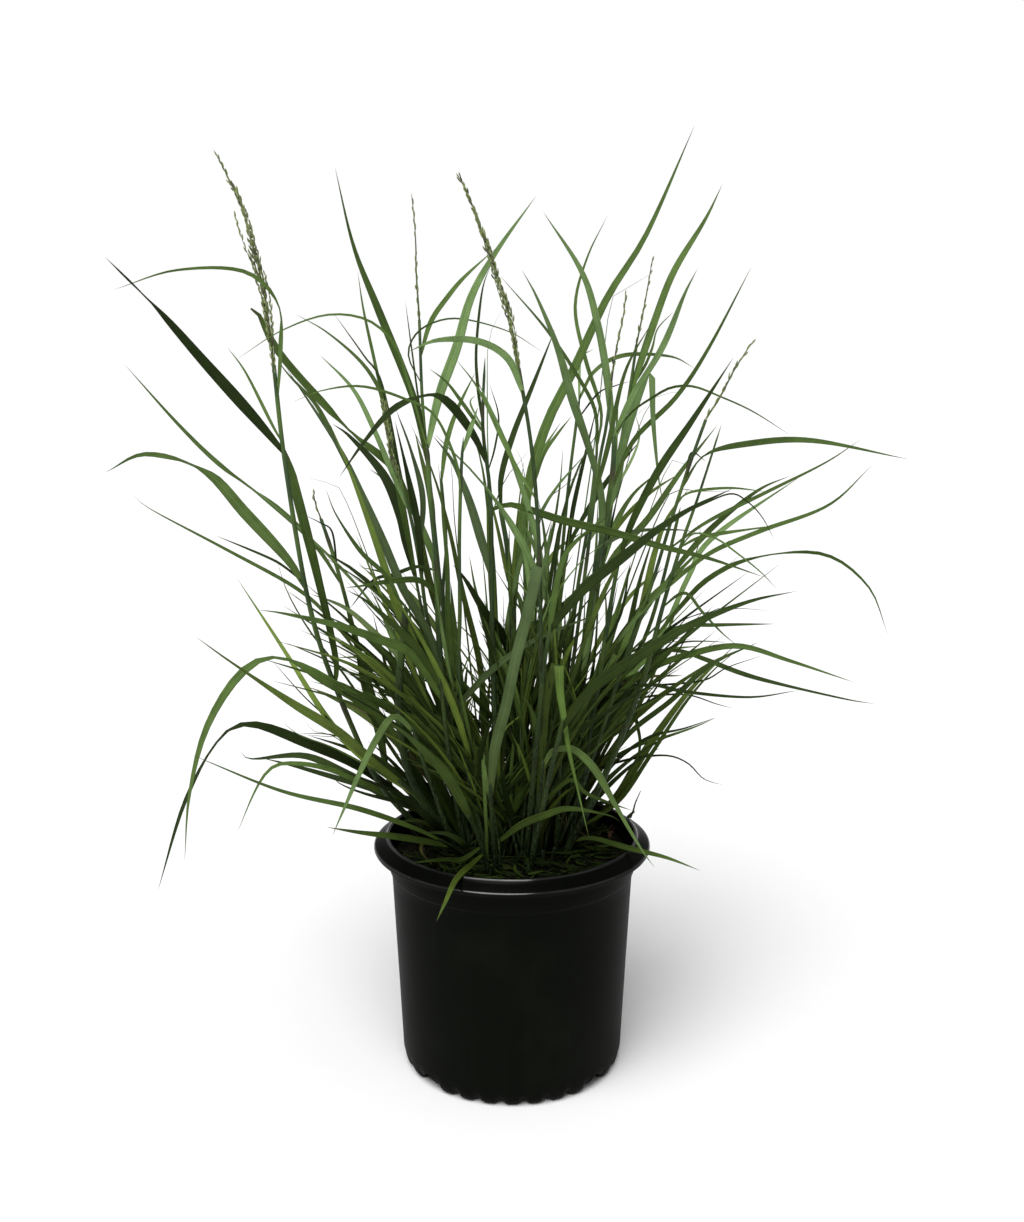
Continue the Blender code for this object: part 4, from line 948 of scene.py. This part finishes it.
def plasticMaterial():
    made, tree = newMaterial("nurseryPlastic", {"Specular IOR Level": 0.022, "Coat Roughness": 0.12,
                                                "Coat IOR": 1.65})
    place = placeOf(tree)
    height = axisOf(place, "Z")
    grain = noise(place, 900.0, 3.0)
    drawn = noise(placeOf(tree, 0.12), 70.0, 4.0)
    smudge = noise(place, 14.0, 5.0)
    dust = smudge.between(0.50, 0.72) * 0.5 + drawn.between(0.55, 0.8) * 0.3
    onLip = height.between(0.170, 0.200)
    mouthEdge = height.between(0.2052, 0.2064) * (smudge.between(0.34, 0.56) * 0.6 + 0.4)
    outerEdge = height.between(0.1978, 0.1986) * (1.0 - height.between(0.1992, 0.1998))
    sheen = onLip * 0.02 + mouthEdge + outerEdge * (smudge.between(0.36, 0.50) * 0.3 + 0.5)
    body = mixColours(tree, dust.clamped(), (0.0030, 0.0037, 0.0024), (0.0068, 0.0080, 0.0054))
    # the top of the lip is painted near black, darker than the body: painted shade
    colour = mixColours(tree, height.between(0.1985, 0.2000) * 0.75, body, (0.0008, 0.0010, 0.0007))
    return dress(made, {"Base Color": colour, "Coat Weight": sheen.clamped(),
                        "Roughness": 0.42 - onLip * 0.10 + dust * 0.12 + grain * 0.08},
                 grain + drawn * 0.5, 0.10, 0.0003)


def modelPot():
    profile = potSetup["profile"]
    piece = addPiece("potShell", bpy.ops.mesh.primitive_circle_add, vertices=potSetup["segments"],
                     radius=profile[0][0] * mm, fill_type="NGON")
    raiseRings(piece, profile)
    for vert in piece.data.vertices:
        reach = math.hypot(vert.co.x, vert.co.y) / mm
        rise = vert.co.z / mm / potSetup["scallopTop"]
        if reach > potSetup["scallopFrom"] and rise < 1:
            turn = math.atan2(vert.co.y, vert.co.x) * potSetup["scallops"] / 2
            valley = abs(math.cos(turn)) ** potSetup["valleyPower"] * (1.0 - max(0.0, rise) ** 2)
            drawn = 1.0 - potSetup["scallopDepth"] * valley / reach
            vert.co.x *= drawn
            vert.co.y *= drawn
            vert.co.z += potSetup["scallopRise"] * mm * valley
    return piece


def cutDrains(piece):
    wide = potSetup["drainWidth"] / 2
    away = potSetup["drainReach"] * mm
    for angle in potSetup["drains"]:
        cutter = addPiece("drainCutter", bpy.ops.mesh.primitive_cylinder_add, vertices=potSetup["drainSides"],
                          radius=wide * mm, depth=potSetup["drainCut"] * mm)
        turn = math.radians(angle - 90)
        cutter.scale = (potSetup["drainHeight"] / wide, 1.0, 1.0)
        cutter.rotation_euler = (0, math.pi / 2, turn)
        cutter.location = (math.cos(turn) * away, math.sin(turn) * away, 0)
        bpy.ops.object.transform_apply(location=True, rotation=True, scale=True)
        applyModifier(piece, "BOOLEAN", {"operation": "DIFFERENCE", "object": cutter})
        bpy.data.objects.remove(cutter)


pot = modelPot()
cutDrains(pot)
onlySelect(pot)
bpy.ops.object.shade_smooth_by_angle(angle=math.radians(potSetup["smoothBelow"]))
settle(pot, plasticMaterial(), ("nursery_pot",))
print("pot is made")


# Soil: a rough surface with bark chips, crumbs and dry scraps
soilSetup = {"segments": 150, "rings": 44, "rough": 3.4, "edge": 103.0, "top": 189.2, "roughFrom": 186,
             "middle": 1.5, "tintSpread": 0.4, "reach": 99,
             "tipping": (0.6, 0.5), "bumps": (("lumps", 0.016, 1.0), ("crumbs", 0.0045, 0.5)),
             "profile": [(85.8, 2.4), (95.2, 17.5), (101.0, 130), (103.2, 172), (103.0, 186.5)]}
soilTints = {
    "bark": (0.0070, 0.0062, 0.0034), "paleBark": (0.017, 0.014, 0.008), "peat": (0.0038, 0.0038, 0.0021),
    "moss": (0.0070, 0.0100, 0.0034), "scrap": (0.100, 0.066, 0.042), "redScrap": (0.095, 0.050, 0.036)}


def soilMaterial(name, tinted):
    made, tree = newMaterial(name, {"Specular IOR Level": 0.06})
    place = placeOf(tree)
    coarse = noise(place, 160.0, 8.0)
    fine = noise(place, 700.0, 4.0)
    if tinted:
        colour = mixColours(tree, fine.between(0.35, 0.7) * 0.6, tintOf(tree), (0.008, 0.006, 0.004))
    else:
        earth = ramped(tree, coarse, ((0.30, (0.0022, 0.0021, 0.0013)), (0.52, (0.0042, 0.0042, 0.0023)),
                                      (0.72, (0.010, 0.0092, 0.0050))))
        colour = mixColours(tree, fine.between(0.62, 0.72) * 0.5, earth, (0.026, 0.020, 0.012))
    return dress(made, {"Base Color": colour, "Roughness": fine * 0.2 + 0.75},
                 coarse + fine * 0.5, 0.7, 0.0015)


def modelSoil():
    profile, edge, rings = soilSetup["profile"], soilSetup["edge"], soilSetup["rings"]
    piece = addPiece("soilBody", bpy.ops.mesh.primitive_circle_add, vertices=soilSetup["segments"],
                     radius=profile[0][0] * mm, location=(0, 0, profile[0][1] * mm), fill_type="NGON")
    inward = [edge * (1 - (i / rings)) + soilSetup["middle"] * i / rings for i in range(1, rings + 1)]
    raiseRings(piece, profile + [(radius, soilSetup["top"]) for radius in inward])
    group = piece.vertex_groups.new(name="surface")
    group.add([v.index for v in piece.data.vertices if v.co.z > soilSetup["roughFrom"] * mm], 1.0, "REPLACE")
    for label, size, share in soilSetup["bumps"]:
        clouds = bpy.data.textures.new(label, "CLOUDS")
        clouds.noise_scale = size
        clouds.noise_depth = 3
        applyModifier(piece, "DISPLACE", {"texture": clouds, "direction": "Z", "vertex_group": "surface",
                                          "mid_level": 0.5, "strength": soilSetup["rough"] * mm * share})
    piece.vertex_groups.clear()
    bpy.ops.object.shade_smooth()
    return piece


def modelChip():
    piece = addPiece("chipPattern", bpy.ops.mesh.primitive_cube_add, size=1.0)
    pick(piece, "EDGE")
    bpy.ops.mesh.subdivide(number_cuts=1, smoothness=0.3)
    bpy.ops.transform.vertex_random(offset=0.16, seed=3)
    endEdit()
    return piece


def modelCrumb():
    piece = addPiece("crumbPattern", bpy.ops.mesh.primitive_ico_sphere_add, subdivisions=1, radius=0.5)
    pick(piece, "EDGE")
    bpy.ops.transform.vertex_random(offset=0.12, seed=5)
    endEdit()
    return piece


def modelScrap():
    piece = addPiece("scrapPattern", bpy.ops.mesh.primitive_grid_add, x_subdivisions=2,
                     y_subdivisions=5, size=1.0)
    pick(piece, "VERT", lambda vert: abs(vert.co.y) > 0.45)
    bpy.ops.transform.resize(value=(0.25, 1.0, 1.0))
    bpy.ops.transform.translate(value=(0, 0, 0.22))
    bpy.ops.mesh.select_all(action="SELECT")
    bpy.ops.transform.vertex_random(offset=0.05, seed=2)
    endEdit()
    applyModifier(piece, "SOLIDIFY", {"thickness": 0.05, "offset": 0.0})
    return piece


# Copies of one pattern over the soil, or within a corner of it; sizes are length, width and thickness
def scatter(name, pattern, count, sizes, lift, tints, corner=None):
    pieces = []
    for number in range(count):
        reach = math.sqrt(soilChance.random()) * soilSetup["reach"]
        angle = soilChance.uniform(0, math.tau)
        spot = (math.cos(angle) * reach, math.sin(angle) * reach)
        if corner:
            spot = [soilChance.uniform(*pair) for pair in corner]
        piece = ownCopy(pattern)
        tall, wide, thick = (soilChance.uniform(*pair) * mm for pair in sizes)
        turn = Matrix.Rotation(soilChance.uniform(0, math.tau), 4, "Z")
        for axis, most in zip("XY", soilSetup["tipping"]):
            turn = turn @ Matrix.Rotation(sway(soilChance, most), 4, axis)
        up = soilSetup["top"] + soilChance.uniform(*lift)
        place = Matrix.Translation((spot[0] * mm, spot[1] * mm, up * mm))
        piece.data.transform(place @ turn @ Matrix.Diagonal((wide, tall, thick, 1.0)))
        paint(piece, soilTints[soilChance.choice(tints)], soilSetup["tintSpread"], soilChance)
        pieces.append(piece)
    settle(joinPieces(pieces, name), soilBits)


settle(modelSoil(), soilMaterial("pottingSoil", False), ("potting_soil",))
soilBits = soilMaterial("barkBits", True)
chipPattern, crumbPattern, scrapPattern = modelChip(), modelCrumb(), modelScrap()
soilChance = random.Random(11)
scatter("barkChips", chipPattern, 420, ((3.5, 12), (2, 5), (1, 2.4)), (-0.6, 1.8),
        ("bark", "bark", "peat", "paleBark", "moss"))
scatter("soilCrumbs", crumbPattern, 1300, ((1, 3.2), (1, 3), (0.8, 2.2)), (-0.6, 2.0),
        ("peat", "moss", "bark"))
scatter("leafScraps", scrapPattern, 46, ((4, 13), (2, 4.5), (3, 5)), (1.4, 3.0),
        ("scrap", "bark", "paleBark", "bark", "moss"))
scatter("cornerScraps", scrapPattern, 16, ((7, 15), (3, 6), (4, 6)), (2.0, 4.5),
        ("scrap", "redScrap", "scrap"), ((64, 92), (24, 46)))
for pattern in (chipPattern, crumbPattern, scrapPattern):
    bpy.data.objects.remove(pattern)
print("soil is made")


# Inner growth: the crowd of thin stems with their leaves, and dead blades at the foot of the clump
innerSetup = {
    "stems": 144, "leavesEach": 4, "fineEach": 1, "trials": 12, "dry": 70, "thatch": 260, "crownAcross": 46,
    "crownDeep": 44, "middle": (2, 4), "fan": 0.44, "fall": 0.22, "tops": (270, 520), "lean": (-0.16, 0.34),
    "stemWidth": (1.4, 2.8), "rows": 24, "leafFrom": (0.16, 0.97), "topLeaf": 0.98, "leafLength": (70, 190),
    "leafSpread": (0.10, 0.58), "leafDroop": (0.0, 0.32), "leafWidth": (2.2, 6.2), "fineWidth": (1.2, 2.4),
    "litAndFreshFrom": 330, "dryLength": (22, 80), "dryWidth": (2, 4.5), "thatchReach": (35, 92),
    "thatchHeight": (192, 199), "thatchLength": (6, 20), "thatchWidth": (1.4, 3.2), "thatchLimit": 97,
    "inward": 0.8, "bow": (0.04, 0.05), "stemTop": 0.6, "leafAside": (0.4, 1.0), "leafFan": 0.6,
    "leafDeep": (-0.55, 0.8), "leafShares": (0.3, 0.65, 1.0), "leafArch": 1.3, "leafFall": 2.4,
    "leafRows": 14, "leafRoll": 0.7, "dryTip": (0.3, 0.8), "thatchTilt": 0.06, "thatchBow": 0.4,
    "strayShares": (0.35, 0.7), "strayRoll": 0.4, "steadyRoll": 0.1}
# Tints of the inner growth: leaves low in the clump take the darker "low" list, partly painted shade and
# partly older colour; higher leaves take the lighter "fresh" list
innerTints = {
    "stem": ("mid", "olive", "deep", "mid"), "low": ("mid", "olive", "deep", "dark", "deep", "bright"),
    "fresh": ("light", "mid", "bright", "light", "dark", "light", "mid", "pale"),
    "dry": ("brown", "deep", "dark", "olive"), "thatch": ("dark", "deep", "shade", "dark", "mid")}

# Gaps that the inner leaves leave clear, as the camera sees them: across, up, half width, half height
clearGaps = [
    (-35, 446, 7, 15), (-37, 399, 7, 17), (-27, 357, 8, 21), (-42, 360, 4, 10), (-31, 316, 6, 13),
    (-14, 331, 5, 13), (-8, 399, 5, 23), (-12, 436, 4, 13), (4, 402, 4, 13), (9, 432, 4, 9),
    (-13, 279, 5, 16), (-51, 306, 5, 9), (-65, 328, 4, 13), (-3, 288, 4, 9), (16, 298, 4, 10),
    (29, 306, 4, 8), (29, 369, 4, 8), (51, 433, 4, 15), (34, 440, 4, 11), (63, 448, 4, 13),
    (80, 424, 9, 14), (78, 394, 6, 11), (71, 379, 5, 11), (53, 389, 6, 5), (94, 400, 4, 13),
    (110, 440, 6, 14), (114, 385, 7, 13), (104, 370, 5, 10), (102, 352, 7, 7), (91, 285, 9, 13),
    (48, 350, 4, 10), (63, 343, 4, 6), (-92, 425, 6, 16), (-76, 412, 4, 12), (-69, 398, 4, 24),
    (-47, 428, 4, 11), (-54, 385, 4, 13), (-84, 372, 4, 12), (20, 330, 4, 9), (-60, 452, 4, 12),
    (88, 330, 6, 7), (70, 300, 4, 7)]


def crossesGap(line):
    for spot in line:
        flat = shownAt(spot)
        for across, up, wide, tall in clearGaps:
            if ((flat.x - across) / wide) ** 2 + ((flat.y - up) / tall) ** 2 < 1.0:
                return True
    return False


def crownSpot(chance):
    angle = chance.uniform(0, math.tau)
    reach = math.sqrt(chance.random())
    return (math.cos(angle) * reach * innerSetup["crownAcross"] + innerSetup["middle"][0],
            math.sin(angle) * reach * innerSetup["crownDeep"] + innerSetup["middle"][1])


# A thin stem that keeps clear of the gaps, or nothing after the last trial
def innerLine(chance):
    soilTop = plantSetup["soilTop"]
    for trial in range(innerSetup["trials"]):
        x, y = crownSpot(chance)
        fan = sway(chance, 1)
        top = chance.uniform(*innerSetup["tops"]) * (1.0 - innerSetup["fall"] * abs(fan))
        rise = top - soilTop
        lean = chance.uniform(*innerSetup["lean"])
        tip = Vector((x * innerSetup["inward"] + fan * rise * innerSetup["fan"], y + lean * rise, top))
        foot = Vector((x, y, soilTop))
        aside, lift = innerSetup["bow"]
        bow = foot.lerp(tip, 0.5) + Vector((-fan * aside * rise, 0, rise * lift))
        line = smoothPath([foot * mm, bow * mm, tip * mm], innerSetup["rows"])
        if not crossesGap(line):
            return line, fan, rise
    return None, 0, 0


# A leaf from that stem: its line and where it starts, or nothing after the last trial
def innerLeaf(line, fan, first, fine, chance):
    for trial in range(innerSetup["trials"]):
        at = innerSetup["topLeaf"] if first else chance.uniform(*innerSetup["leafFrom"])
        part = min(innerSetup["rows"] - 2, int(at * (innerSetup["rows"] - 1)))
        start = line[part]
        along = (line[part + 1] - start).normalized()
        aside = chance.choice((-1, 1)) * chance.uniform(*innerSetup["leafAside"])
        aside += fan * innerSetup["leafFan"]
        out = Vector((aside, chance.uniform(*innerSetup["leafDeep"]), 0)).normalized()
        length = chance.uniform(*innerSetup["leafLength"]) * mm
        spread = chance.uniform(*innerSetup["leafSpread"])
        droop = Vector((0, 0, -1)) * length * chance.uniform(*innerSetup["leafDroop"])
        path = [start]
        for share in innerSetup["leafShares"]:
            arch = out * length * spread * share ** innerSetup["leafArch"]
            path.append(start + along * length * share + arch + droop * share ** innerSetup["leafFall"])
        if fine or not crossesGap(smoothPath(path, innerSetup["leafRows"])):
            return path
    return None


def layLight(path, width, roll, tint, chance):
    return layBlade(path, width, roll, tint, chance, light=True)


def growInner():
    chance = random.Random(29)
    soilTop = plantSetup["soilTop"]
    stems, leaves, dry = [], [], []
    for number in range(innerSetup["stems"]):
        line, fan, rise = innerLine(chance)
        if line is None:
            continue
        tint = chance.choice(innerTints["stem"])
        joints = max(1, round(rise / stemSetup["jointEvery"]))
        width = chance.uniform(*innerSetup["stemWidth"])
        stems.append(layStem(line, width, innerSetup["stemTop"], chance, joints, tint, True))
        for leafNumber in range(innerSetup["leavesEach"] + innerSetup["fineEach"]):
            fine = leafNumber >= innerSetup["leavesEach"]
            path = innerLeaf(line, fan, leafNumber == 0, fine, chance)
            if path is None:
                continue
            # leaves that start low take darker tints: partly painted shade
            high = path[0].z > innerSetup["litAndFreshFrom"] * mm
            tint = chance.choice(innerTints["fresh" if high else "low"])
            width = chance.uniform(*innerSetup["fineWidth" if fine else "leafWidth"])
            leaves.append(layLight(path, width, sway(chance, innerSetup["leafRoll"]), tint, chance))
    for number in range(innerSetup["dry"]):
        x, y = crownSpot(chance)
        out = Vector((sway(chance, 1), sway(chance, 1), 0))
        length = chance.uniform(*innerSetup["dryLength"])
        path = [Vector((x, y, soilTop)) * mm]
        path.append((Vector((x, y, soilTop + length * 0.6)) + out * length * 0.25) * mm)
        tip = soilTop + length * chance.uniform(*innerSetup["dryTip"])
        path.append((Vector((x, y, tip)) + out * length * 0.6) * mm)
        dry.append(layLight(path, chance.uniform(*innerSetup["dryWidth"]), sway(chance, 1),
                            chance.choice(innerTints["dry"]), chance))
    for number in range(innerSetup["thatch"]):
        angle, heading = chance.uniform(0, math.tau), chance.uniform(0, math.tau)
        reach = chance.uniform(*innerSetup["thatchReach"])
        middle = Vector((math.cos(angle) * reach, math.sin(angle) * reach,
                         chance.uniform(*innerSetup["thatchHeight"])))
        half = Vector((math.cos(heading), math.sin(heading), sway(chance, innerSetup["thatchTilt"])))
        half = half * chance.uniform(*innerSetup["thatchLength"])
        side = Vector((-half.y, half.x, 0)) * sway(chance, innerSetup["thatchBow"])
        path = []
        for spot in (middle - half, middle + side, middle + half):
            inside = min(1.0, innerSetup["thatchLimit"] / math.hypot(spot.x, spot.y))
            path.append(Vector((spot.x * inside, spot.y * inside, spot.z)) * mm)
        dry.append(layLight(path, chance.uniform(*innerSetup["thatchWidth"]), sway(chance, 1),
                            chance.choice(innerTints["thatch"]), chance))
    return stems, leaves, dry


# Fine leaves whose stalks are lost in the clump: tint, width, foot across and in depth, lean in depth, line.
# A leaf with no foot starts at the first point of its line.
strayLeaves = [
    ("light", 3, -20, -48, -20, (-25, 272), (-20, 240), (-13, 205), (-10, 180)),
    ("dark", 4.5, -42, 0, -30, (-85, 229), (-126, 240), (-148, 249), (-156, 256), (-159, 257)),
    ("straw", 4, -38, 34, 20, (-84, 270), (-114, 303), (-129, 316), (-149, 326), (-166, 333), (-184, 339)),
    ("mid", 3.6, None, 66, 6, (-134, 519), (-147, 548), (-161, 575), (-181, 597), (-189, 608), (-188, 613)),
    ("dark", 8, -44, -6, -10, (-72, 226), (-95, 250), (-115, 269), (-142, 282), (-175, 293)),
    ("mid", 3, -36, 8, 20, (-84, 250), (-117, 303), (-141, 344), (-170, 383), (-189, 418), (-197, 446)),
    ("deep", 2.5, -40, 4, 10, (-78, 240), (-105, 266), (-125, 279), (-152, 293), (-185, 295)),
    ("dark", 6.5, -44, -12, -20, (-70, 215), (-95, 238), (-124, 252), (-150, 262)),
    ("olive", 6, -30, 6, 0, (-60, 240), (-84, 276), (-104, 300), (-126, 322)),
    ("mid", 5.5, -20, -10, -10, (-44, 240), (-62, 285), (-78, 318), (-98, 352)),
    ("deep", 4, 36, 10, 20, (68, 236), (87, 267), (117, 291), (147, 299), (175, 309)),
    ("mid", 4.5, 2, 14, 0, (10, 290), (26, 370), (4, 408), (-16, 441)),
    ("dark", 4.5, -14, 8, 10, (-6, 282), (12, 319), (32, 357), (51, 393), (80, 431)),
    ("grey", 5.5, None, -14, -24, (-58, 308), (-44, 322), (-18, 350), (16, 375), (61, 395), (75, 399)),
    ("bright", 3.5, -16, -10, -14, (-12, 250), (-9, 293), (9, 313), (17, 332)),
    ("mid", 4.5, 10, 0, 16, (20, 250), (27, 269), (52, 287), (82, 303), (108, 316)),
    ("deep", 4.5, 14, 10, 26, (24, 256), (32, 282), (62, 313), (92, 344), (109, 365)),
    ("mid", 2.5, 6, 20, 10, (12, 470), (10, 520), (5, 534), (2, 541)),
    ("mid", 2.5, -12, 24, 20, (-18, 470), (-7, 511), (3, 523), (15, 539)),
    ("light", 1.5, -8, 30, 30, (-20, 540), (-20, 612), (-18.5, 628), (-13, 642), (-9, 649)),
    ("deep", 1.2, -14, 34, 36, (-20, 500), (-20, 561), (-20, 618)),
    ("deep", 1.2, -20, 20, 26, (-42, 420), (-48, 480), (-49.5, 515), (-52, 540)),
    ("dark", 2.5, 10, 20, 30, (18, 440), (27, 492), (44, 508), (60, 522)),
    ("grey", 3.5, 14, 24, 34, (32, 400), (42, 480), (47, 500), (49, 510)),
    ("dark", 3.5, 16, 30, 40, (38, 400), (49, 483), (53, 500), (57, 530)),
    ("mid", 3, 22, 34, 50, (52, 400), (65, 480), (66.5, 505)),
    ("dark", 3, 14, 10, 24, (28, 400), (35, 450), (38, 470), (44, 490)),
    ("mid", 5, 18, 4, 20, (38, 390), (46, 450), (48, 470), (51.5, 490)),
    ("light", 1, 24, 40, 60, (70, 560), (79, 652), (92, 666), (113, 679)),
    ("dark", 2, 26, 30, 60, (84, 480), (96, 550), (102, 566), (113, 575)),
    ("deep", 1, 28, 36, 64, (88, 500), (114, 577), (146, 583)),
    ("bright", 3, 40, 20, 60, (130, 380), (156.5, 460), (157.5, 470), (151, 482)),
    ("mid", 1.5, 36, 30, 60, (98, 420), (130, 500), (148, 503), (182, 503)),
    ("olive", 1.5, 34, 10, 50, (100, 440), (129, 524), (145, 525), (158, 522)),
    ("dark", 1.5, 38, 24, 60, (120, 330), (160, 396), (190, 404), (218, 402)),
    ("mid", 1.5, 34, 16, 50, (98, 320), (122, 368), (142, 376), (160, 379)),
    ("bright", 2, 38, 0, 10, (80, 290), (104, 325), (117, 331), (127, 332)),
    ("mid", 1, -40, 10, 30, (-110, 250), (-150, 290), (-171, 297), (-177, 307)),
    ("deep", 1, -38, 6, 20, (-104, 262), (-140, 290), (-160, 292), (-182, 294)),
    ("deep", 1, -30, 26, 50, (-104, 400), (-140, 500), (-157, 511), (-167, 514)),
    ("mid", 5, -36, 4, 0, (-84, 300), (-100, 327), (-107, 338), (-116, 352), (-124, 363), (-131, 368),
        (-144, 372)),
    ("deep", 7.5, -34, 0, -6, (-72, 270), (-84, 310), (-94, 333), (-98, 344), (-106, 360), (-112, 372),
        (-119, 380)),
    ("olive", 6, -30, 8, 4, (-62, 280), (-76, 317), (-81, 328), (-90, 339), (-96, 351), (-106, 372),
        (-110, 384)),
    ("mid", 7.5, -24, 6, 10, (-50, 330), (-54, 400), (-54, 433), (-55, 455), (-57, 475), (-59, 505),
        (-61, 526)),
    ("dark", 7, -40, 8, 0, (-68, 250), (-86, 284), (-103, 316), (-119, 345), (-131, 374)),
    ("deep", 6, -38, -4, 0, (-70, 256), (-91, 300), (-104, 340), (-113, 380), (-118, 402)),
    ("deep", 6, -26, 12, 6, (-48, 280), (-70, 340), (-86, 380), (-99, 408), (-108, 424)),
    ("dark", 6, -34, 16, 12, (-54, 260), (-78, 310), (-92, 330), (-112, 345), (-128, 352)),
    ("mid", 10, 38, 10, 10, (85, 340), (98, 375), (105, 394), (112, 408), (125, 422), (140, 436),
        (158, 455), (172, 470)),
    ("deep", 8.5, 36, 14, 20, (80, 310), (90, 345), (95, 365), (99, 386), (102, 402), (105, 418),
        (110, 438), (121, 475)),
    ("mid", 6, 26, 8, 10, (48, 300), (53, 334), (59, 355), (66, 375), (70, 396), (80, 417), (98, 441)),
    ("deep", 6, 30, 16, 10, (60, 270), (77, 308), (81, 328), (90, 349), (96, 370), (104, 392)),
    ("dark", 6.5, 34, 6, 0, (66, 260), (84, 300), (98, 326), (114, 346), (134, 366)),
    ("olive", 6, 38, 12, 16, (74, 260), (96, 296), (110, 322), (122, 350), (130, 376)),
    ("dark", 5, 40, 2, -10, (70, 232), (88, 252), (108, 270), (128, 282)),
    ("deep", 5.5, 42, 10, 6, (74, 244), (98, 268), (120, 284), (142, 296)),
    ("dark", 6, -44, 10, 4, (-72, 232), (-92, 256), (-108, 274), (-124, 288)),
    ("deep", 5.5, -42, 18, 14, (-70, 236), (-88, 268), (-102, 296), (-112, 318)),
    ("mid", 6.5, -6, 30, 30, (-14, 380), (-16, 440), (-20, 490), (-26, 530), (-36, 560)),
    ("deep", 6, 16, 34, 30, (26, 380), (34, 440), (44, 490), (58, 530), (76, 560)),
    ("mid", 6, 8, 26, 20, (14, 360), (22, 420), (34, 470), (40, 510), (42, 540)),
    ("bright", 7, None, 44, 6, (62, 205), (91, 238), (106, 264), (121, 289), (145, 324), (165, 348),
        (190, 373)),
    ("deep", 6, -40, 20, 0, (-58, 215), (-76, 228), (-96, 232)),
    ("dark", 7, -36, 30, 10, (-55, 225), (-70, 245), (-92, 262)),
    ("olive", 5, -48, -8, -6, (-66, 208), (-82, 216), (-104, 214)),
    ("deep", 6, -30, -34, -12, (-44, 196), (-58, 204), (-80, 205)),
    ("deep", 5, 40, 30, 10, (58, 222), (74, 232), (92, 230)),
    ("dark", 6, 30, 44, 12, (50, 230), (66, 250), (86, 262)),
    ("olive", 5.5, -14, 34, 30, (-28, 360), (-42, 420), (-52, 470), (-66, 520), (-84, 560))]


def growStrays():
    chance = random.Random(41)
    made = []
    for tint, width, across, depth, lean, *points in strayLeaves:
        if across is None:
            path = [seen(x, z, depth + lean * i / len(points)) for i, (x, z) in enumerate(points)]
            made.append(layBlade(path, width, innerSetup["steadyRoll"], tint, chance, steady=True))
            continue
        path = [Vector((across, depth, plantSetup["soilTop"])) * mm]
        low = shownAt(path[0])
        for share in innerSetup["strayShares"]:
            spot = low.lerp(Vector(points[0]), share)
            path.append(seen(spot.x, spot.y, depth + lean * share))
        path += [seen(x, z, depth + lean) for x, z in points]
        made.append(layBlade(path, width, sway(chance, innerSetup["strayRoll"]), tint, chance))
    return made


# Litter: a dry strip curled on the soil, two cut stubs at the front, a twig with a knob caught on the lip,
# and a flat-topped leaf that rises to the folded one
litterStems = {
    "leftStub": (3.2, 0.9, "straw", (27, -40, 188), (26, -42, 205)),
    "rightStub": (3.2, 0.9, "straw", (33, -34, 188), (36, -36, 205)),
    "twig": (1.8, 0.35, "brown", (107, 42, 203), (110, 44, 210), (112, 47, 216), (117, 51, 226)),
    "knob": (3.4, 0.5, "dark", (103, 41, 202), (107, 42, 206), (111, 44, 209))}
dryStrip = {"width": 3, "roll": 0.3,
            "line": [(-64, 2, 199), (-75, -12, 202), (-77, -33, 201), (-66, -58, 198)]}
risingLeaf = {"width": 7.5, "roll": 0.1, "foot": (24, -24, 190), "depth": -44,
              "line": [(25, 250), (27, 300), (31, 335), (37, 356)]}


def inSpace(points):
    return [Vector(point) * mm for point in points]


def layLitter():
    chance = random.Random(7)
    strip = layBlade(inSpace(dryStrip["line"]), dryStrip["width"], dryStrip["roll"], "straw", chance)
    stems = [layStem(inSpace(points), width, topShare, chance, tint=tint)
             for width, topShare, tint, *points in litterStems.values()]
    rising = inSpace([risingLeaf["foot"]])
    rising += [seen(*point, risingLeaf["depth"]) for point in risingLeaf["line"]]
    leaf = layBlade(rising, risingLeaf["width"], risingLeaf["roll"], "olive", chance, "cut")
    return [strip, leaf], stems


innerStems, innerLeaves, dryBlades = growInner()
innerLeaves += growStrays()
litterBlades, litterStalks = layLitter()
finishGrass(innerStems + litterStalks, "innerStems", grassStem)
finishGrass(innerLeaves, "innerLeaves", grassLeaf)
finishGrass(dryBlades + litterBlades, "dryBlades", grassLeaf)
for pattern in (bladePattern, stemPattern, spikeletPattern, lightBlade, lightStem):
    bpy.data.objects.remove(pattern)
print("inner growth is made")


# Studio: a pale floor under a soft, even sky, and one broad soft light from above on the viewer's side
studioSetup = {"floorSize": 60, "floorTint": (0.95, 0.95, 0.95, 1.0), "skyTint": (1.0, 1.0, 1.0, 1.0),
               "sky": 0.33, "sun": 2.95, "sunAngle": 44, "sunTurn": (30, 0, -20)}


def buildStudio():
    floor = addPiece("studioFloor", bpy.ops.mesh.primitive_plane_add, size=studioSetup["floorSize"])
    paper = newMaterial("studioPaper", {"Roughness": 0.9, "Specular IOR Level": 0.1,
                                        "Base Color": studioSetup["floorTint"]})[0]
    floor.data.materials.append(paper)
    world = bpy.data.worlds.new("studio")
    world.use_nodes = True
    tree = world.node_tree
    seenSky = node(tree, "ShaderNodeLightPath", {}, {}, "Is Camera Ray")
    sky = tree.nodes["Background"]
    sky.inputs["Color"].default_value = studioSetup["skyTint"]
    fill(tree, sky.inputs["Strength"], seenSky * (1.0 - studioSetup["sky"]) + studioSetup["sky"])
    bpy.context.scene.world = world
    light = bpy.data.lights.new("softSun", "SUN")
    light.energy = studioSetup["sun"]
    light.angle = math.radians(studioSetup["sunAngle"])
    addToScene("softSun", light).rotation_euler = [math.radians(turn) for turn in studioSetup["sunTurn"]]
    bpy.context.scene.view_settings.view_transform = "Standard"


buildStudio()
print("all pieces are placed")
